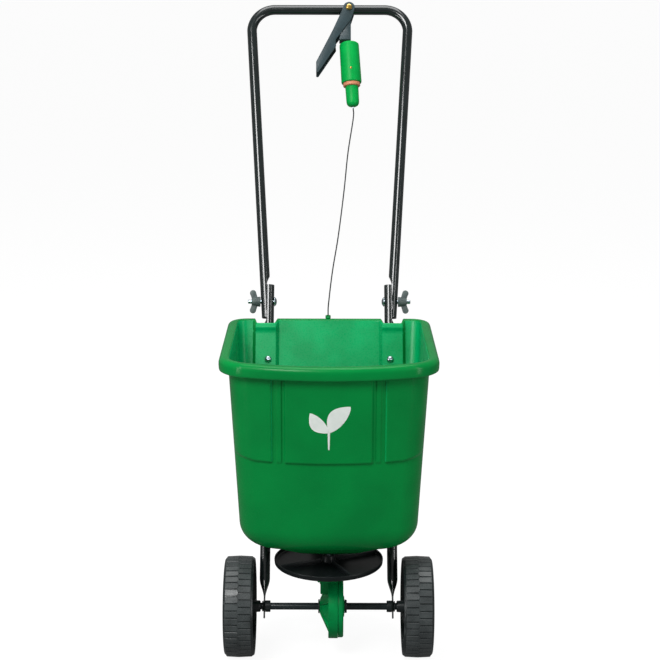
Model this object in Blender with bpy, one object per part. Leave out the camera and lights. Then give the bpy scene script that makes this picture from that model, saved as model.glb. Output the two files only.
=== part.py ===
"""A walk-behind garden spreader: a hopper on a leaning tube frame with a folding handle.

Two wheels carry it, and a gear on their axle spins the disc under the hopper.
"""

import math

import bmesh
import bpy
from mathutils import Vector

# Driving dimensions, in metres. X is across, -Y is forward, +Z is up; Y is counted from the axle.
AXLE_Y = -0.1711
AXLE_Z = 0.0915
AXLE_R = 0.00635
AXLE_HALF = 0.1860
LEAN = math.radians(24.5)
GAP = 0.0003
RUN = 0.00015
ROUND = 20

TUBE_R = 0.0095
TUBE_WALL = 0.0013
LEG_X_LOW = 0.1170
LEG_X_TOP = 0.1135
LEG_TOP = 0.6010
EAR_END = -0.0220
EAR_THICK = 0.0030
EAR_WIDTH = 0.0300
FOLD_AT = 0.5690
FOLD_FLAT_X = 0.1185
HANDLE_TOP = 1.1558
HANDLE_LOW = 0.5380
HANDLE_X_LOW = 0.1176
HANDLE_X_TOP = 0.1500
HANDLE_CORNER = 0.0450

WHEEL_IN = 0.1345
WHEEL_OUT = 0.1885
WHEEL_R = 0.0915
HUB_R = 0.0105

HOPPER_TOP = 0.5780
HOPPER_WALL = 0.0030
RIM_UNDER = 0.5735
RIM_OUT = 0.0155
FLOOR_Z = 0.2090
SHAFT_R = 0.0040
DISC_R = 0.0985
DISC_Z = 0.1760

MODULE = 0.0028125
RING_TEETH = 32
PINION_TEETH = 8
RING_PITCH = MODULE * RING_TEETH / 2
PINION_PITCH = MODULE * PINION_TEETH / 2
TOOTH_OUT = 0.0017
TOOTH_IN = 0.0024

PIVOT_X = 0.0375
GRIP_TILT = math.radians(3.5)
STAND_X = 0.0135

GREEN = (0.010, 0.240, 0.055)
BRIGHT_GREEN = (0.010, 0.420, 0.090)
BLACK = (0.020, 0.024, 0.025)
STEEL = (0.500, 0.540, 0.560)


def clear_scene():
    """Remove what a new file holds."""
    for item in list(bpy.data.objects):
        bpy.data.objects.remove(item, do_unlink=True)


def collection(name):
    """A collection of this name in the scene."""
    made = bpy.data.collections.new(name)
    bpy.context.scene.collection.children.link(made)
    return made


clear_scene()
PARTS = collection("garden_spreader")
CUTTERS = collection("cutters")


def empty(name, place, turn=(0.0, 0.0, 0.0), parent=None):
    """An empty that pieces are parented to."""
    made = bpy.data.objects.new(name, None)
    PARTS.objects.link(made)
    made.location = place
    made.rotation_euler = turn
    made.parent = parent
    return made


ORIGIN = empty("origin", (0.0, AXLE_Y, 0.0))
AXLE = empty("axle_line", (0.0, 0.0, AXLE_Z), parent=ORIGIN)
PLANE = empty("frame_plane", (0.0, 0.0, AXLE_Z), (-LEAN, 0.0, 0.0), ORIGIN)
FOLD = empty("fold_line", (0.0, 0.0, FOLD_AT), parent=PLANE)
PIVOT = empty("trigger_pivot_point", (PIVOT_X, 0.0, HANDLE_TOP - FOLD_AT), parent=FOLD)
GRIP = empty("grip_line", (-0.0042, 0.0, 0.0), (0.0, -GRIP_TILT, 0.0), PIVOT)


def finish(name, colour, roughness, metallic=0.0):
    """A plain Principled material."""
    made = bpy.data.materials.new(name)
    made.use_nodes = True
    shader = made.node_tree.nodes["Principled BSDF"]
    shader.inputs["Base Color"].default_value = (*colour, 1.0)
    shader.inputs["Roughness"].default_value = roughness
    shader.inputs["Metallic"].default_value = metallic
    return made


MATERIALS = {
    "green_plastic": finish("green_plastic", GREEN, 0.35),
    "bright_green_plastic": finish("bright_green_plastic", BRIGHT_GREEN, 0.4),
    "black_paint": finish("black_paint", BLACK, 0.25),
    "black_plastic": finish("black_plastic", BLACK, 0.45),
    "slate_plastic": finish("slate_plastic", (0.060, 0.085, 0.085), 0.5),
    "zinc_steel": finish("zinc_steel", STEEL, 0.3, 1.0),
    "brass": finish("brass", (0.700, 0.500, 0.180), 0.3, 1.0),
    "copper_ring": finish("copper_ring", (0.750, 0.320, 0.200), 0.4),
    "black_rubber": finish("black_rubber", (0.015, 0.015, 0.015), 0.8),
    "natural_nylon": finish("natural_nylon", (0.700, 0.680, 0.600), 0.5),
}


def add(name, mesh, dress, parent, smooth=True):
    """A named piece holding this mesh."""
    made = bpy.data.objects.new(name, mesh)
    PARTS.objects.link(made)
    made.parent = parent
    mesh.materials.clear()
    mesh.materials.append(MATERIALS[dress])
    if smooth:
        mesh.shade_smooth()
        mesh.set_sharp_from_angle(angle=math.radians(35))
    return made


def hide(piece):
    """Turn a piece into a cutter, which isn't part of the object."""
    PARTS.objects.unlink(piece)
    CUTTERS.objects.link(piece)
    piece.hide_render = True
    piece.display_type = "WIRE"
    return piece


def combine(piece, tool, operation):
    """A Boolean of the piece with a hidden tool."""
    change = piece.modifiers.new(operation.lower(), "BOOLEAN")
    change.operation = operation
    change.solver = "EXACT"
    change.object = hide(tool)
    return piece


def cut(piece, tool):
    """Cut a tool's shape out of a piece."""
    return combine(piece, tool, "DIFFERENCE")


def join(piece, tool):
    """Join a tool's shape to a piece."""
    return combine(piece, tool, "UNION")


def block(name, size, centre, dress, parent, bevel=0.0, turn=(0.0, 0.0, 0.0)):
    """A box with rounded edges."""
    mesh = bpy.data.meshes.new(name)
    bm = bmesh.new()
    bmesh.ops.create_cube(bm, size=1.0)
    bmesh.ops.scale(bm, vec=size, verts=bm.verts)
    if bevel:
        bmesh.ops.bevel(bm, geom=bm.edges[:], offset=bevel, segments=1, affect="EDGES")
    bm.to_mesh(mesh)
    bm.free()
    made = add(name, mesh, dress, parent)
    made.location = centre
    made.rotation_euler = turn
    return made


def rod(name, radius, length, centre, dress, parent, turn=(0.0, 0.0, 0.0), sides=ROUND):
    """A round bar along its own Z."""
    mesh = bpy.data.meshes.new(name)
    bm = bmesh.new()
    bmesh.ops.create_cone(
        bm, cap_ends=True, segments=sides, radius1=radius, radius2=radius, depth=length
    )
    bm.to_mesh(mesh)
    bm.free()
    made = add(name, mesh, dress, parent)
    made.location = centre
    made.rotation_euler = turn
    return made


ALONG_X = (0.0, math.radians(90), 0.0)
ALONG_MINUS_X = (0.0, math.radians(-90), 0.0)
ALONG_Y = (math.radians(-90), 0.0, 0.0)


def turned(name, profile, dress, parent, place=(0.0, 0.0, 0.0), turn=(0.0, 0.0, 0.0), sides=ROUND):
    """A closed turned shape: profile is a loop of (radius, height) about the piece's own Z."""
    mesh = bpy.data.meshes.new(name)
    bm = bmesh.new()
    loops = []
    for step in range(sides):
        angle = 2 * math.pi * step / sides
        loops.append(
            [
                None if radius == 0 else bm.verts.new((radius * math.cos(angle), radius * math.sin(angle), height))
                for radius, height in profile
            ]
        )
    poles = {i: bm.verts.new((0, 0, height)) for i, (radius, height) in enumerate(profile) if radius == 0}
    for step in range(sides):
        here = loops[step]
        ahead = loops[(step + 1) % sides]
        for i in range(len(profile)):
            k = (i + 1) % len(profile)
            corners = [here[i] or poles[i], here[k] or poles[k], ahead[k] or poles[k], ahead[i] or poles[i]]
            corners = list(dict.fromkeys(corners))
            if len(corners) > 2:
                bm.faces.new(corners)
    bmesh.ops.recalc_face_normals(bm, faces=bm.faces[:])
    bm.to_mesh(mesh)
    bm.free()
    made = add(name, mesh, dress, parent)
    made.location = place
    made.rotation_euler = turn
    return made


def tube(name, points, radius, dress, parent, resolution=3):
    """A mesh tube along points, welded and capped."""
    curve = bpy.data.curves.new(name, "CURVE")
    curve.dimensions = "3D"
    curve.bevel_depth = radius
    curve.bevel_resolution = resolution
    curve.use_fill_caps = True
    spline = curve.splines.new("POLY")
    spline.points.add(len(points) - 1)
    for target, point in zip(spline.points, points):
        target.co = (*point, 1.0)
    guide = bpy.data.objects.new(name + "_guide", curve)
    PARTS.objects.link(guide)
    bpy.context.view_layer.update()
    graph = bpy.context.evaluated_depsgraph_get()
    mesh = bpy.data.meshes.new_from_object(guide.evaluated_get(graph))
    bpy.data.objects.remove(guide)
    bm = bmesh.new()
    bm.from_mesh(mesh)
    bmesh.ops.remove_doubles(bm, verts=bm.verts[:], dist=0.00001)
    bmesh.ops.recalc_face_normals(bm, faces=bm.faces[:])
    bm.to_mesh(mesh)
    bm.free()
    return add(name, mesh, dress, parent)


def outline_plate(name, outline, thickness, dress, parent, place, turn):
    """A flat plate cut to an outline, lying in its own XY plane."""
    curve = bpy.data.curves.new(name, "CURVE")
    curve.dimensions = "2D"
    curve.fill_mode = "BOTH"
    curve.extrude = thickness / 2
    spline = curve.splines.new("POLY")
    spline.points.add(len(outline) - 1)
    for target, (x, y) in zip(spline.points, outline):
        target.co = (x, y, 0.0, 1.0)
    spline.use_cyclic_u = True
    guide = bpy.data.objects.new(name + "_guide", curve)
    PARTS.objects.link(guide)
    bpy.context.view_layer.update()
    graph = bpy.context.evaluated_depsgraph_get()
    mesh = bpy.data.meshes.new_from_object(guide.evaluated_get(graph))
    bpy.data.objects.remove(guide)
    bm = bmesh.new()
    bm.from_mesh(mesh)
    bmesh.ops.remove_doubles(bm, verts=bm.verts[:], dist=0.00001)
    bmesh.ops.recalc_face_normals(bm, faces=bm.faces[:])
    bm.to_mesh(mesh)
    bm.free()
    made = add(name, mesh, dress, parent, smooth=False)
    made.location = place
    made.rotation_euler = turn
    return made


def arc(centre_x, centre_y, radius, start, end, steps):
    """Points along an arc, angles in degrees."""
    return [
        (
            centre_x + radius * math.cos(math.radians(start + (end - start) * i / steps)),
            centre_y + radius * math.sin(math.radians(start + (end - start) * i / steps)),
        )
        for i in range(steps + 1)
    ]


def leg_x(along):
    """The lower tube's distance from the middle, at this height along the lean."""
    return LEG_X_LOW + (LEG_X_TOP - LEG_X_LOW) * along / LEG_TOP


def frame_tube(name, side):
    """A lower tube: round, flattened to an ear at the axle, and flat outside where the handle lies on it."""
    ear_top = 0.0150
    round_from = 0.0500
    levels = [EAR_END, -0.014, 0.0, ear_top, 0.027, 0.039, round_from, 0.3, LEG_TOP]
    made = tube(name, [(side * leg_x(z), 0.0, z) for z in levels], TUBE_R, "black_paint", PLANE)
    for vert in made.data.vertices:
        x, y, z = vert.co
        amount = min(1.0, max(0.0, (round_from - z) / (round_from - ear_top)))
        amount = amount * amount * (3 - 2 * amount)
        middle = side * leg_x(z)
        thin = 1.0 + (EAR_THICK / (2 * TUBE_R) - 1.0) * amount
        wide = 1.0 + (EAR_WIDTH / (2 * TUBE_R) - 1.0) * amount
        if z < -0.018:
            wide *= 0.6
        vert.co = (middle + (x - middle) * thin, y * wide, z)
    bore_from = round_from + 0.006
    bore_to = FOLD_AT - 0.045
    bore = tube(
        name + "_bore",
        [(side * leg_x(bore_from), 0.0, bore_from), (side * leg_x(bore_to), 0.0, bore_to)],
        TUBE_R - TUBE_WALL,
        "black_paint",
        PLANE,
    )
    cut(made, bore)
    flat = block(
        name + "_flat",
        (0.020, 0.040, 0.1),
        (side * (FOLD_FLAT_X - GAP + 0.010), 0.0, LEG_TOP - 0.072 + 0.05),
        "black_paint",
        PLANE,
    )
    cut(made, flat)
    cut(made, rod(name + "_axle_hole", 0.0083, 0.03, (side * LEG_X_LOW, 0.0, 0.0), "black_paint", PLANE, ALONG_X))
    cut(
        made,
        rod(name + "_fold_hole", 0.0043, 0.05, (side * 0.112, 0.0, FOLD_AT), "black_paint", PLANE,
            ALONG_X, 16),
    )
    cut(
        made,
        rod(name + "_screw_hole", 0.0028, 0.05, (side * SCREW_X, 0.0, SCREW_AT), "black_paint", PLANE,
            ALONG_Y, 12),
    )
    cut(
        made,
        rod(name + "_brace_hole", 0.0028, 0.05, (side * BRACE_X, 0.0, BRACE_AT), "black_paint", PLANE,
            ALONG_Y, 12),
    )
    return made


SCREW_AT = 0.4560
SCREW_X = 0.1143
BRACE_AT = 0.2250
BRACE_X = 0.1157


def plan(width, front, back, channel, skin, panel, grow):
    """A level of the hopper seen from above: points, each with its rim weight and its notch weight."""
    share = min(1.0, width / BODY_HALF)
    bow = FRONT_BOW + grow
    reach = width + grow
    corner = (FRONT_CORNER - skin) * share + grow
    turn = math.asin((reach - corner) / (bow - corner))
    middle_y = front - grow + bow
    panel_end = 0.1000 * share
    begin = bow * math.sin(turn)
    right = []
    for x, out in ((0.0, panel), (0.040, panel), (0.0735, panel), (0.0775, 0.0), (0.0960, 0.0)):
        right.append((x * share, middle_y - math.sqrt(bow * bow - x * x * share * share), 1.0, 0.0, out))
    for x in (panel_end, panel_end + (begin - panel_end) / 2):
        right.append((x, middle_y - math.sqrt(bow * bow - x * x), 1.0, 0.0, panel))
    centre_y = middle_y - (bow - corner) * math.cos(turn)
    for i in range(5):
        angle = turn + (math.pi / 2 - turn) * i / 4
        side_y = centre_y - corner * math.cos(angle)
        right.append((reach - corner + corner * math.sin(angle), side_y, 1.0, 0.0, panel * (1.0 - i / 4)))
    back_y = back + grow
    radius = (BACK_CORNER - skin) * share + grow
    for i in range(4):
        angle = math.pi / 2 * i / 3
        side_x = reach - radius + radius * math.cos(angle)
        right.append((side_x, back_y - radius + radius * math.sin(angle), 1.0, 0.0, 0.0))
    outer = min(0.1400, width + (skin - 0.0262) * share)
    inner = 0.0980 * share
    slope = 0.0045 * share
    notch_y = min(channel + grow * NOTCH_SHARE, back_y)
    right.append((outer + skin * share, back_y, 1.0, 0.0, 0.0))
    right.append((outer - slope + skin * share, notch_y, NOTCH_SHARE, 1.0, 0.0))
    right.append((inner + slope - skin * share, notch_y, NOTCH_SHARE, 1.0, 0.0))
    right.append((inner - skin * share, back_y, 1.0, 0.0, 0.0))
    right.append((0.0, back_y, 1.0, 0.0, 0.0))
    shaped = [(x, y - out, dip) for x, y, weight, dip, out in right]
    return shaped + [(-x, y, dip) for x, y, dip in reversed(shaped[1:-1])]


def tube_y(z):
    """Where the lower tubes' middle lies at this height."""
    return math.tan(LEAN) * (z - AXLE_Z)


def hopper_level(z, skin, grow=0.0, drop=0.0, dip=0.0, pinch=(0.0, 0.0, 0.0), panel=0.0):
    """Points of one level: skin is how far inside the outer surface it lies, grow how far the rim stands out."""
    narrow, front_in, back_in = pinch
    width = 0.1585 + 0.0525 * (z - 0.271) - skin - narrow
    front = -0.1080 - 0.109 * (z - 0.270) + skin + front_in
    back = tube_y(z) + 0.004 - skin - back_in
    deep = RIM_CHANNEL if z > RIM_FROM else 0.0
    channel = min(tube_y(z) - 0.0114 - skin - deep, back)
    points = plan(width, front, back, channel, skin, panel, grow)
    return [Vector((x, y, z - drop * (1.0 - 0.9 * notch) - dip * notch)) for x, y, notch in points]


def loft(name, levels, dress, parent, capped=False):
    """A closed surface through levels of equally many points, with end caps or the last joined to the first."""
    mesh = bpy.data.meshes.new(name)
    bm = bmesh.new()
    rings = [[bm.verts.new(point) for point in level] for level in levels]
    count = len(levels[0])
    spans = list(zip(rings, rings[1:]))
    if capped:
        bm.faces.new(rings[0])
        bm.faces.new(rings[-1])
    else:
        spans.append((rings[-1], rings[0]))
    for ring, after in spans:
        for k in range(count):
            n = (k + 1) % count
            bm.faces.new((ring[k], ring[n], after[n], after[k]))
    bmesh.ops.recalc_face_normals(bm, faces=bm.faces[:])
    bm.to_mesh(mesh)
    bm.free()
    return add(name, mesh, dress, parent)


BODY_HALF = 0.1580
FRONT_BOW = 0.4200
FRONT_CORNER = 0.0520
BACK_CORNER = 0.0200
NOTCH_SHARE = 0.15
RIM_CHANNEL = 0.0045
RIM_FROM = 0.5675
BOTTOM = (
    (0.2560, (0.0012, 0.0015, 0.0170)), (0.2430, (0.0050, 0.0060, 0.0180)), (0.2320,
    (0.0140, 0.0150, 0.0165)),
    (0.2240, (0.0400, 0.0330, 0.0160)), (0.2090, (0.0930, 0.0560, 0.0160)),
)
LEDGE_LOW = 0.3975
LEDGE_HIGH = 0.4020
PANEL_OUT = 0.0045


def build_hopper():
    """The bin: one moulded wall with a rolled rim, raised front panels, tube channels and a flat floor."""
    wall = HOPPER_WALL
    outer = [hopper_level(z, 0.0, pinch=pinch) for z, pinch in reversed(BOTTOM)]
    outer += [hopper_level(0.270, 0.0), hopper_level(LEDGE_LOW, 0.0)]
    outer += [hopper_level(LEDGE_HIGH, 0.0, panel=PANEL_OUT), hopper_level(0.566, 0.0, panel=PANEL_OUT)]
    rim = [
        hopper_level(RIM_UNDER, 0.0, 0.002, panel=PANEL_OUT, dip=0.002),
        hopper_level(RIM_UNDER, 0.0, RIM_OUT - 0.003, dip=0.002),
        hopper_level(RIM_UNDER, 0.0, RIM_OUT - 0.0025, drop=0.0175, dip=0.0025),
        hopper_level(RIM_UNDER, 0.0, RIM_OUT, drop=0.0190, dip=0.0025),
        hopper_level(RIM_UNDER, 0.0, RIM_OUT + 0.0005, drop=0.0060, dip=0.0010),
        hopper_level(HOPPER_TOP - 0.001, 0.0, RIM_OUT - 0.0040, dip=0.0035),
        hopper_level(HOPPER_TOP, 0.0, RIM_OUT - 0.0090, dip=0.0035),
        hopper_level(HOPPER_TOP, 0.0, 0.0005, dip=0.0035),
    ]
    inner = [hopper_level(0.570, wall, panel=PANEL_OUT), hopper_level(0.558, wall, panel=PANEL_OUT)]
    inner += [hopper_level(LEDGE_HIGH, wall, panel=PANEL_OUT), hopper_level(LEDGE_LOW, wall)]
    inner += [hopper_level(0.272, wall)]
    inner += [hopper_level(z + wall, wall * 1.1, pinch=pinch) for z, pinch in BOTTOM]
    made = loft("hopper", outer + rim + inner, "green_plastic", ORIGIN, capped=True)
    low = FLOOR_Z
    cut(made, rod("shaft_hole", 0.0052, 0.02, (0.0, 0.0, low), "green_plastic", ORIGIN, sides=12))
    port = block("outlet_port", (0.030, 0.018, 0.02), (0.0, 0.0290, low), "green_plastic", ORIGIN, 0.002)
    cut(made, port)
    for side in (-1, 1):
        cut(
            made,
            rod("screw_clear_%d" % side, 0.0028, 0.03, (side * SCREW_X, -0.012, SCREW_AT), "green_plastic",
                PLANE, ALONG_Y, 12),
        )
    return made


def build_wheel(name, side):
    """A moulded wheel: tread band, dished web and a long hub."""
    width = WHEEL_OUT - WHEEL_IN
    bore = AXLE_R + RUN
    profile = [
        (bore, -0.0105), (HUB_R, -0.0105), (HUB_R, 0.024), (0.060, 0.036), (0.0845, 0.030),
        (0.0865, 0.0), (0.0895, 0.0), (WHEEL_R, 0.006), (WHEEL_R, width - 0.010),
        (0.0875, width), (0.0800, width), (0.0800, 0.042), (0.022, 0.039), (HUB_R + 0.002, 0.044),
        (bore, 0.044),
    ]
    turn = ALONG_X if side > 0 else ALONG_MINUS_X
    return turned(name, profile, "black_plastic", AXLE, (side * WHEEL_IN, 0.0, 0.0), turn, 36)


def bevel_teeth(count, thick, add_out, add_in):
    """Angles and heights of one tooth's four corners at the large end, for every tooth."""
    step = 2 * math.pi / count
    root = thick * 0.5 + 0.20
    tip = thick * 0.5 - 0.13
    return [
        (step * (tooth + where), height)
        for tooth in range(count)
        for where, height in ((-root, -add_in), (-tip, add_out), (tip, add_out), (root, -add_in))
    ]


def build_ring_gear():
    """Bevel teeth facing -X on a backing plate with a hub."""
    cone = math.atan2(RING_PITCH, PINION_PITCH)
    teeth = bevel_teeth(RING_TEETH, 0.30, TOOTH_OUT, TOOTH_IN)
    shrink = 1.0 - 0.010 / math.hypot(RING_PITCH, PINION_PITCH)

    def level(scale):
        made = []
        for angle, height in teeth:
            radius = (RING_PITCH + height * math.cos(cone)) * scale
            x = (PINION_PITCH - height * math.sin(cone)) * scale
            made.append(Vector((x, radius * math.sin(angle), radius * math.cos(angle))))
        return made

    def ring(x, radius):
        return [Vector((x, radius * math.sin(angle), radius * math.cos(angle))) for angle, _ in teeth]

    bore = AXLE_R + GAP
    levels = [level(1.0), level(shrink), ring(0.0180, RING_PITCH * shrink - 0.002),
        ring(0.0180, RING_PITCH + 0.001)]
    gear = loft("ring_gear", levels, "natural_nylon", AXLE)
    centre = turned(
        "gear_centre",
        [(bore, 0.0090), (0.0115, 0.0090), (0.0115, 0.0150), (0.0360, 0.0150), (0.0360, 0.0175),
        (0.0115, 0.0175),
         (0.0115, 0.0225), (bore, 0.0225)],
        "natural_nylon", AXLE, (0.0, 0.0, 0.0), ALONG_X,
    )
    return join(gear, centre)


def build_pinion():
    """Bevel teeth on the vertical shaft."""
    cone = math.atan2(PINION_PITCH, RING_PITCH)
    half = 0.5
    teeth = [(angle + math.pi / 2 + half * 2 * math.pi / PINION_TEETH, height)
             for angle, height in bevel_teeth(PINION_TEETH, 0.28, TOOTH_OUT, TOOTH_IN)]
    shrink = 1.0 - 0.010 / math.hypot(RING_PITCH, PINION_PITCH)

    def level(scale):
        made = []
        for angle, height in teeth:
            radius = (PINION_PITCH + height * math.cos(cone)) * scale
            z = (RING_PITCH - height * math.sin(cone)) * scale
            made.append(Vector((radius * math.sin(angle), radius * math.cos(angle), z)))
        return made

    def ring(z, radius):
        return [Vector((radius * math.sin(angle), radius * math.cos(angle), z)) for angle, _ in teeth]

    bore = SHAFT_R + GAP
    top = RING_PITCH + 0.003
    low = RING_PITCH * shrink - 0.002
    levels = [level(1.0), level(shrink), ring(low, 0.0055), ring(low, bore), ring(top, bore),
        ring(top, 0.0085)]
    return loft("drive_pinion", levels, "natural_nylon", AXLE)


def build_gearbox():
    """Housing with tower and cone, and a flat cover, each a shell round the gears."""
    split = 0.0168
    bore = 0.0096
    housing = turned(
        "gearbox_housing",
        [
            (bore, -0.0160), (0.0130, -0.0160), (0.0400, -0.0005), (0.0575, -0.0005), (0.0575, split),
            (0.0540, split), (0.0540, 0.0030), (0.0385, 0.0030), (0.0165, -0.0105), (bore, -0.0105),
        ],
        "green_plastic", AXLE, (0.0, 0.0, 0.0), ALONG_X,
    )
    tower_low = 0.030
    tower_top = 0.0800
    tower = block(
        "tower", (0.0200 + split, 0.0400, tower_top - tower_low),
        ((split - 0.0200) / 2, 0.0, (tower_low + tower_top) / 2), "green_plastic", AXLE, 0.003,
    )
    join(housing, tower)
    cut(housing, turned(
        "gear_room",
        [(0.0, -0.0100), (0.0165, -0.0100), (0.0385, 0.0030), (0.0540, 0.0030), (0.0540, 0.03),
        (0.0, 0.03)],
        "green_plastic", AXLE, (0.0, 0.0, 0.0), ALONG_X,
    ))
    cut(housing, rod("pinion_room", 0.0145, 0.040, (0.0, 0.0, 0.0525), "green_plastic", AXLE))
    cut(housing, rod("shaft_way", 0.0065, 0.060, (0.0, 0.0, 0.075), "green_plastic", AXLE))
    cut(housing, block("split_face", (0.04, 0.2, 0.2), (split + 0.02, 0.0, 0.0), "green_plastic", AXLE))
    cover = turned(
        "gearbox_cover",
        [
            (bore, 0.0240), (0.0500, 0.0240), (0.0530, 0.0230), (0.0530, split + GAP), (0.0565,
            split + GAP),
            (0.0560, 0.0250), (0.0530, 0.0268), (bore, 0.0268),
        ],
        "green_plastic", AXLE, (0.0, 0.0, 0.0), ALONG_X,
    )
    join(cover, block("cover_tower", (0.0095, 0.0380, 0.0240), (split + GAP + 0.00475, 0.0, 0.0670),
                      "green_plastic", AXLE, 0.002))
    cut(cover, rod("cover_pinion_room", 0.0145, 0.060, (0.0, 0.0, 0.040), "green_plastic", AXLE))
    for i, (y, z) in enumerate(((-0.0140, 0.0740), (0.0140, 0.0740))):
        hole = rod("gearbox_screw_hole_%d" % i, 0.0022, 0.040, (0.0150, y, z), "green_plastic", AXLE,
            ALONG_X, 12)
        cut(housing, hole)
        change = cover.modifiers.new("screw_hole", "BOOLEAN")
        change.operation = "DIFFERENCE"
        change.object = hole
        turned(
            "gearbox_screw_%d" % (i + 1),
            [(0.0, 0.0), (0.0018, 0.0), (0.0018, 0.0190), (0.0034, 0.0190), (0.0030, 0.0210),
            (0.0, 0.0212)],
            "zinc_steel", AXLE, (0.0082, y, z), ALONG_X, 12,
        )
    return housing, cover


def build_bushes():
    """Flanged bushes in the ears, and in both sides of the gearbox."""
    bore = AXLE_R + RUN
    in_ear = LEG_X_LOW - EAR_THICK / 2 - GAP
    for name, side in (("axle_bush_left", -1), ("axle_bush_right", 1)):
        turned(
            name,
            [
                (bore, -0.0092), (0.0100, -0.0092), (0.0105, -0.0085), (0.0105, 0.0), (0.0079, 0.0),
                (0.0079, 0.0036), (0.0095, 0.0036), (0.0095, 0.0058), (bore, 0.0058),
            ],
            "black_plastic", AXLE, (side * in_ear, 0.0, 0.0), ALONG_X if side > 0 else ALONG_MINUS_X,
        )
    turned(
        "gearbox_bush_left",
        [(bore, -0.0106), (0.0093, -0.0106), (0.0093, -0.0163), (0.0125, -0.0163), (0.0125, -0.0188),
        (bore, -0.0188)],
        "black_plastic", AXLE, (0.0, 0.0, 0.0), ALONG_X,
    )
    turned(
        "gearbox_bush_right",
        [(bore, 0.0243), (0.0093, 0.0243), (0.0093, 0.0271), (0.0125, 0.0271), (0.0115, 0.0332),
        (bore, 0.0332)],
        "black_plastic", AXLE, (0.0, 0.0, 0.0), ALONG_X,
    )
    turned(
        "shaft_bush",
        [
            (SHAFT_R + RUN, 0.0620), (0.0062, 0.0620), (0.0062, 0.0803), (0.0095, 0.0803), (0.0095, 0.0818),
            (SHAFT_R + RUN, 0.0818),
        ],
        "black_plastic", AXLE, sides=16,
    )


def build_axle():
    """The axle rod with the pins and washers that keep the wheels on."""
    made = rod("axle_rod", AXLE_R, 2 * AXLE_HALF, (0.0, 0.0, 0.0), "black_paint", AXLE, ALONG_X)
    pin_x = WHEEL_IN + 0.0475
    for name, side in (("wheel_pin_left", -1), ("wheel_pin_right", 1)):
        cut(made, rod(name + "_hole", 0.0021, 0.03, (side * pin_x, 0.0, 0.0), "zinc_steel", AXLE, sides=12))
        rod(name, 0.0018, 0.0220, (side * pin_x, 0.0, 0.0), "zinc_steel", AXLE, sides=12)
    for name, side in (("drive_washer", -1), ("free_washer", 1)):
        turned(
            name,
            [(AXLE_R + GAP, 0.0), (0.0115, 0.0), (0.0115, 0.0010), (AXLE_R + GAP, 0.0010)],
            "zinc_steel", AXLE, (side * (WHEEL_IN + 0.0443), 0.0, 0.0),
            ALONG_X if side > 0 else ALONG_MINUS_X, 16,
        )
    return made


def build_impeller():
    """The spinning disc with its lip and four vanes, the shaft and the agitator pin."""
    disc = turned(
        "impeller_disc",
        [
            (SHAFT_R + GAP, DISC_Z - 0.0015), (0.0110, DISC_Z - 0.0015), (0.0120, DISC_Z),
            (DISC_R - 0.001, DISC_Z),
            (DISC_R, DISC_Z + 0.0010), (DISC_R, DISC_Z + 0.0095), (DISC_R - 0.0005, DISC_Z + 0.0100),
            (DISC_R - 0.0022, DISC_Z + 0.0100), (DISC_R - 0.0026, DISC_Z + 0.0024), (0.0150,
            DISC_Z + 0.0024),
            (0.0110, DISC_Z + 0.0150), (SHAFT_R + GAP, DISC_Z + 0.0150),
        ],
        "black_plastic", ORIGIN, sides=36,
    )
    for i in range(4):
        angle = math.radians(25 + 90 * i)
        vane = block(
            "vane_%d" % i, (0.0770, 0.0024, 0.0090),
            (0.0540 * math.cos(angle), 0.0540 * math.sin(angle), DISC_Z + 0.0058),
            "black_plastic", ORIGIN, turn=(0.0, 0.0, angle),
        )
        join(disc, vane)
    low = AXLE_Z + 0.0335
    top = 0.2460
    shaft = rod("impeller_shaft", SHAFT_R, top - low, (0.0, 0.0, (low + top) / 2), "zinc_steel", ORIGIN,
        sides=16)
    cut(shaft, rod("agitator_hole", 0.0019, 0.02, (0.0, 0.0, 0.2340), "zinc_steel", ORIGIN, ALONG_X, 12))
    tube(
        "agitator_pin",
        [(-0.036, 0.0, 0.2380), (-0.030, 0.0, 0.2360), (-0.014, 0.0, 0.2340), (0.014, 0.0, 0.2340),
         (0.030, 0.0, 0.2320), (0.036, 0.0, 0.2300)],
        0.0016, "zinc_steel", ORIGIN, 2,
    )


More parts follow.
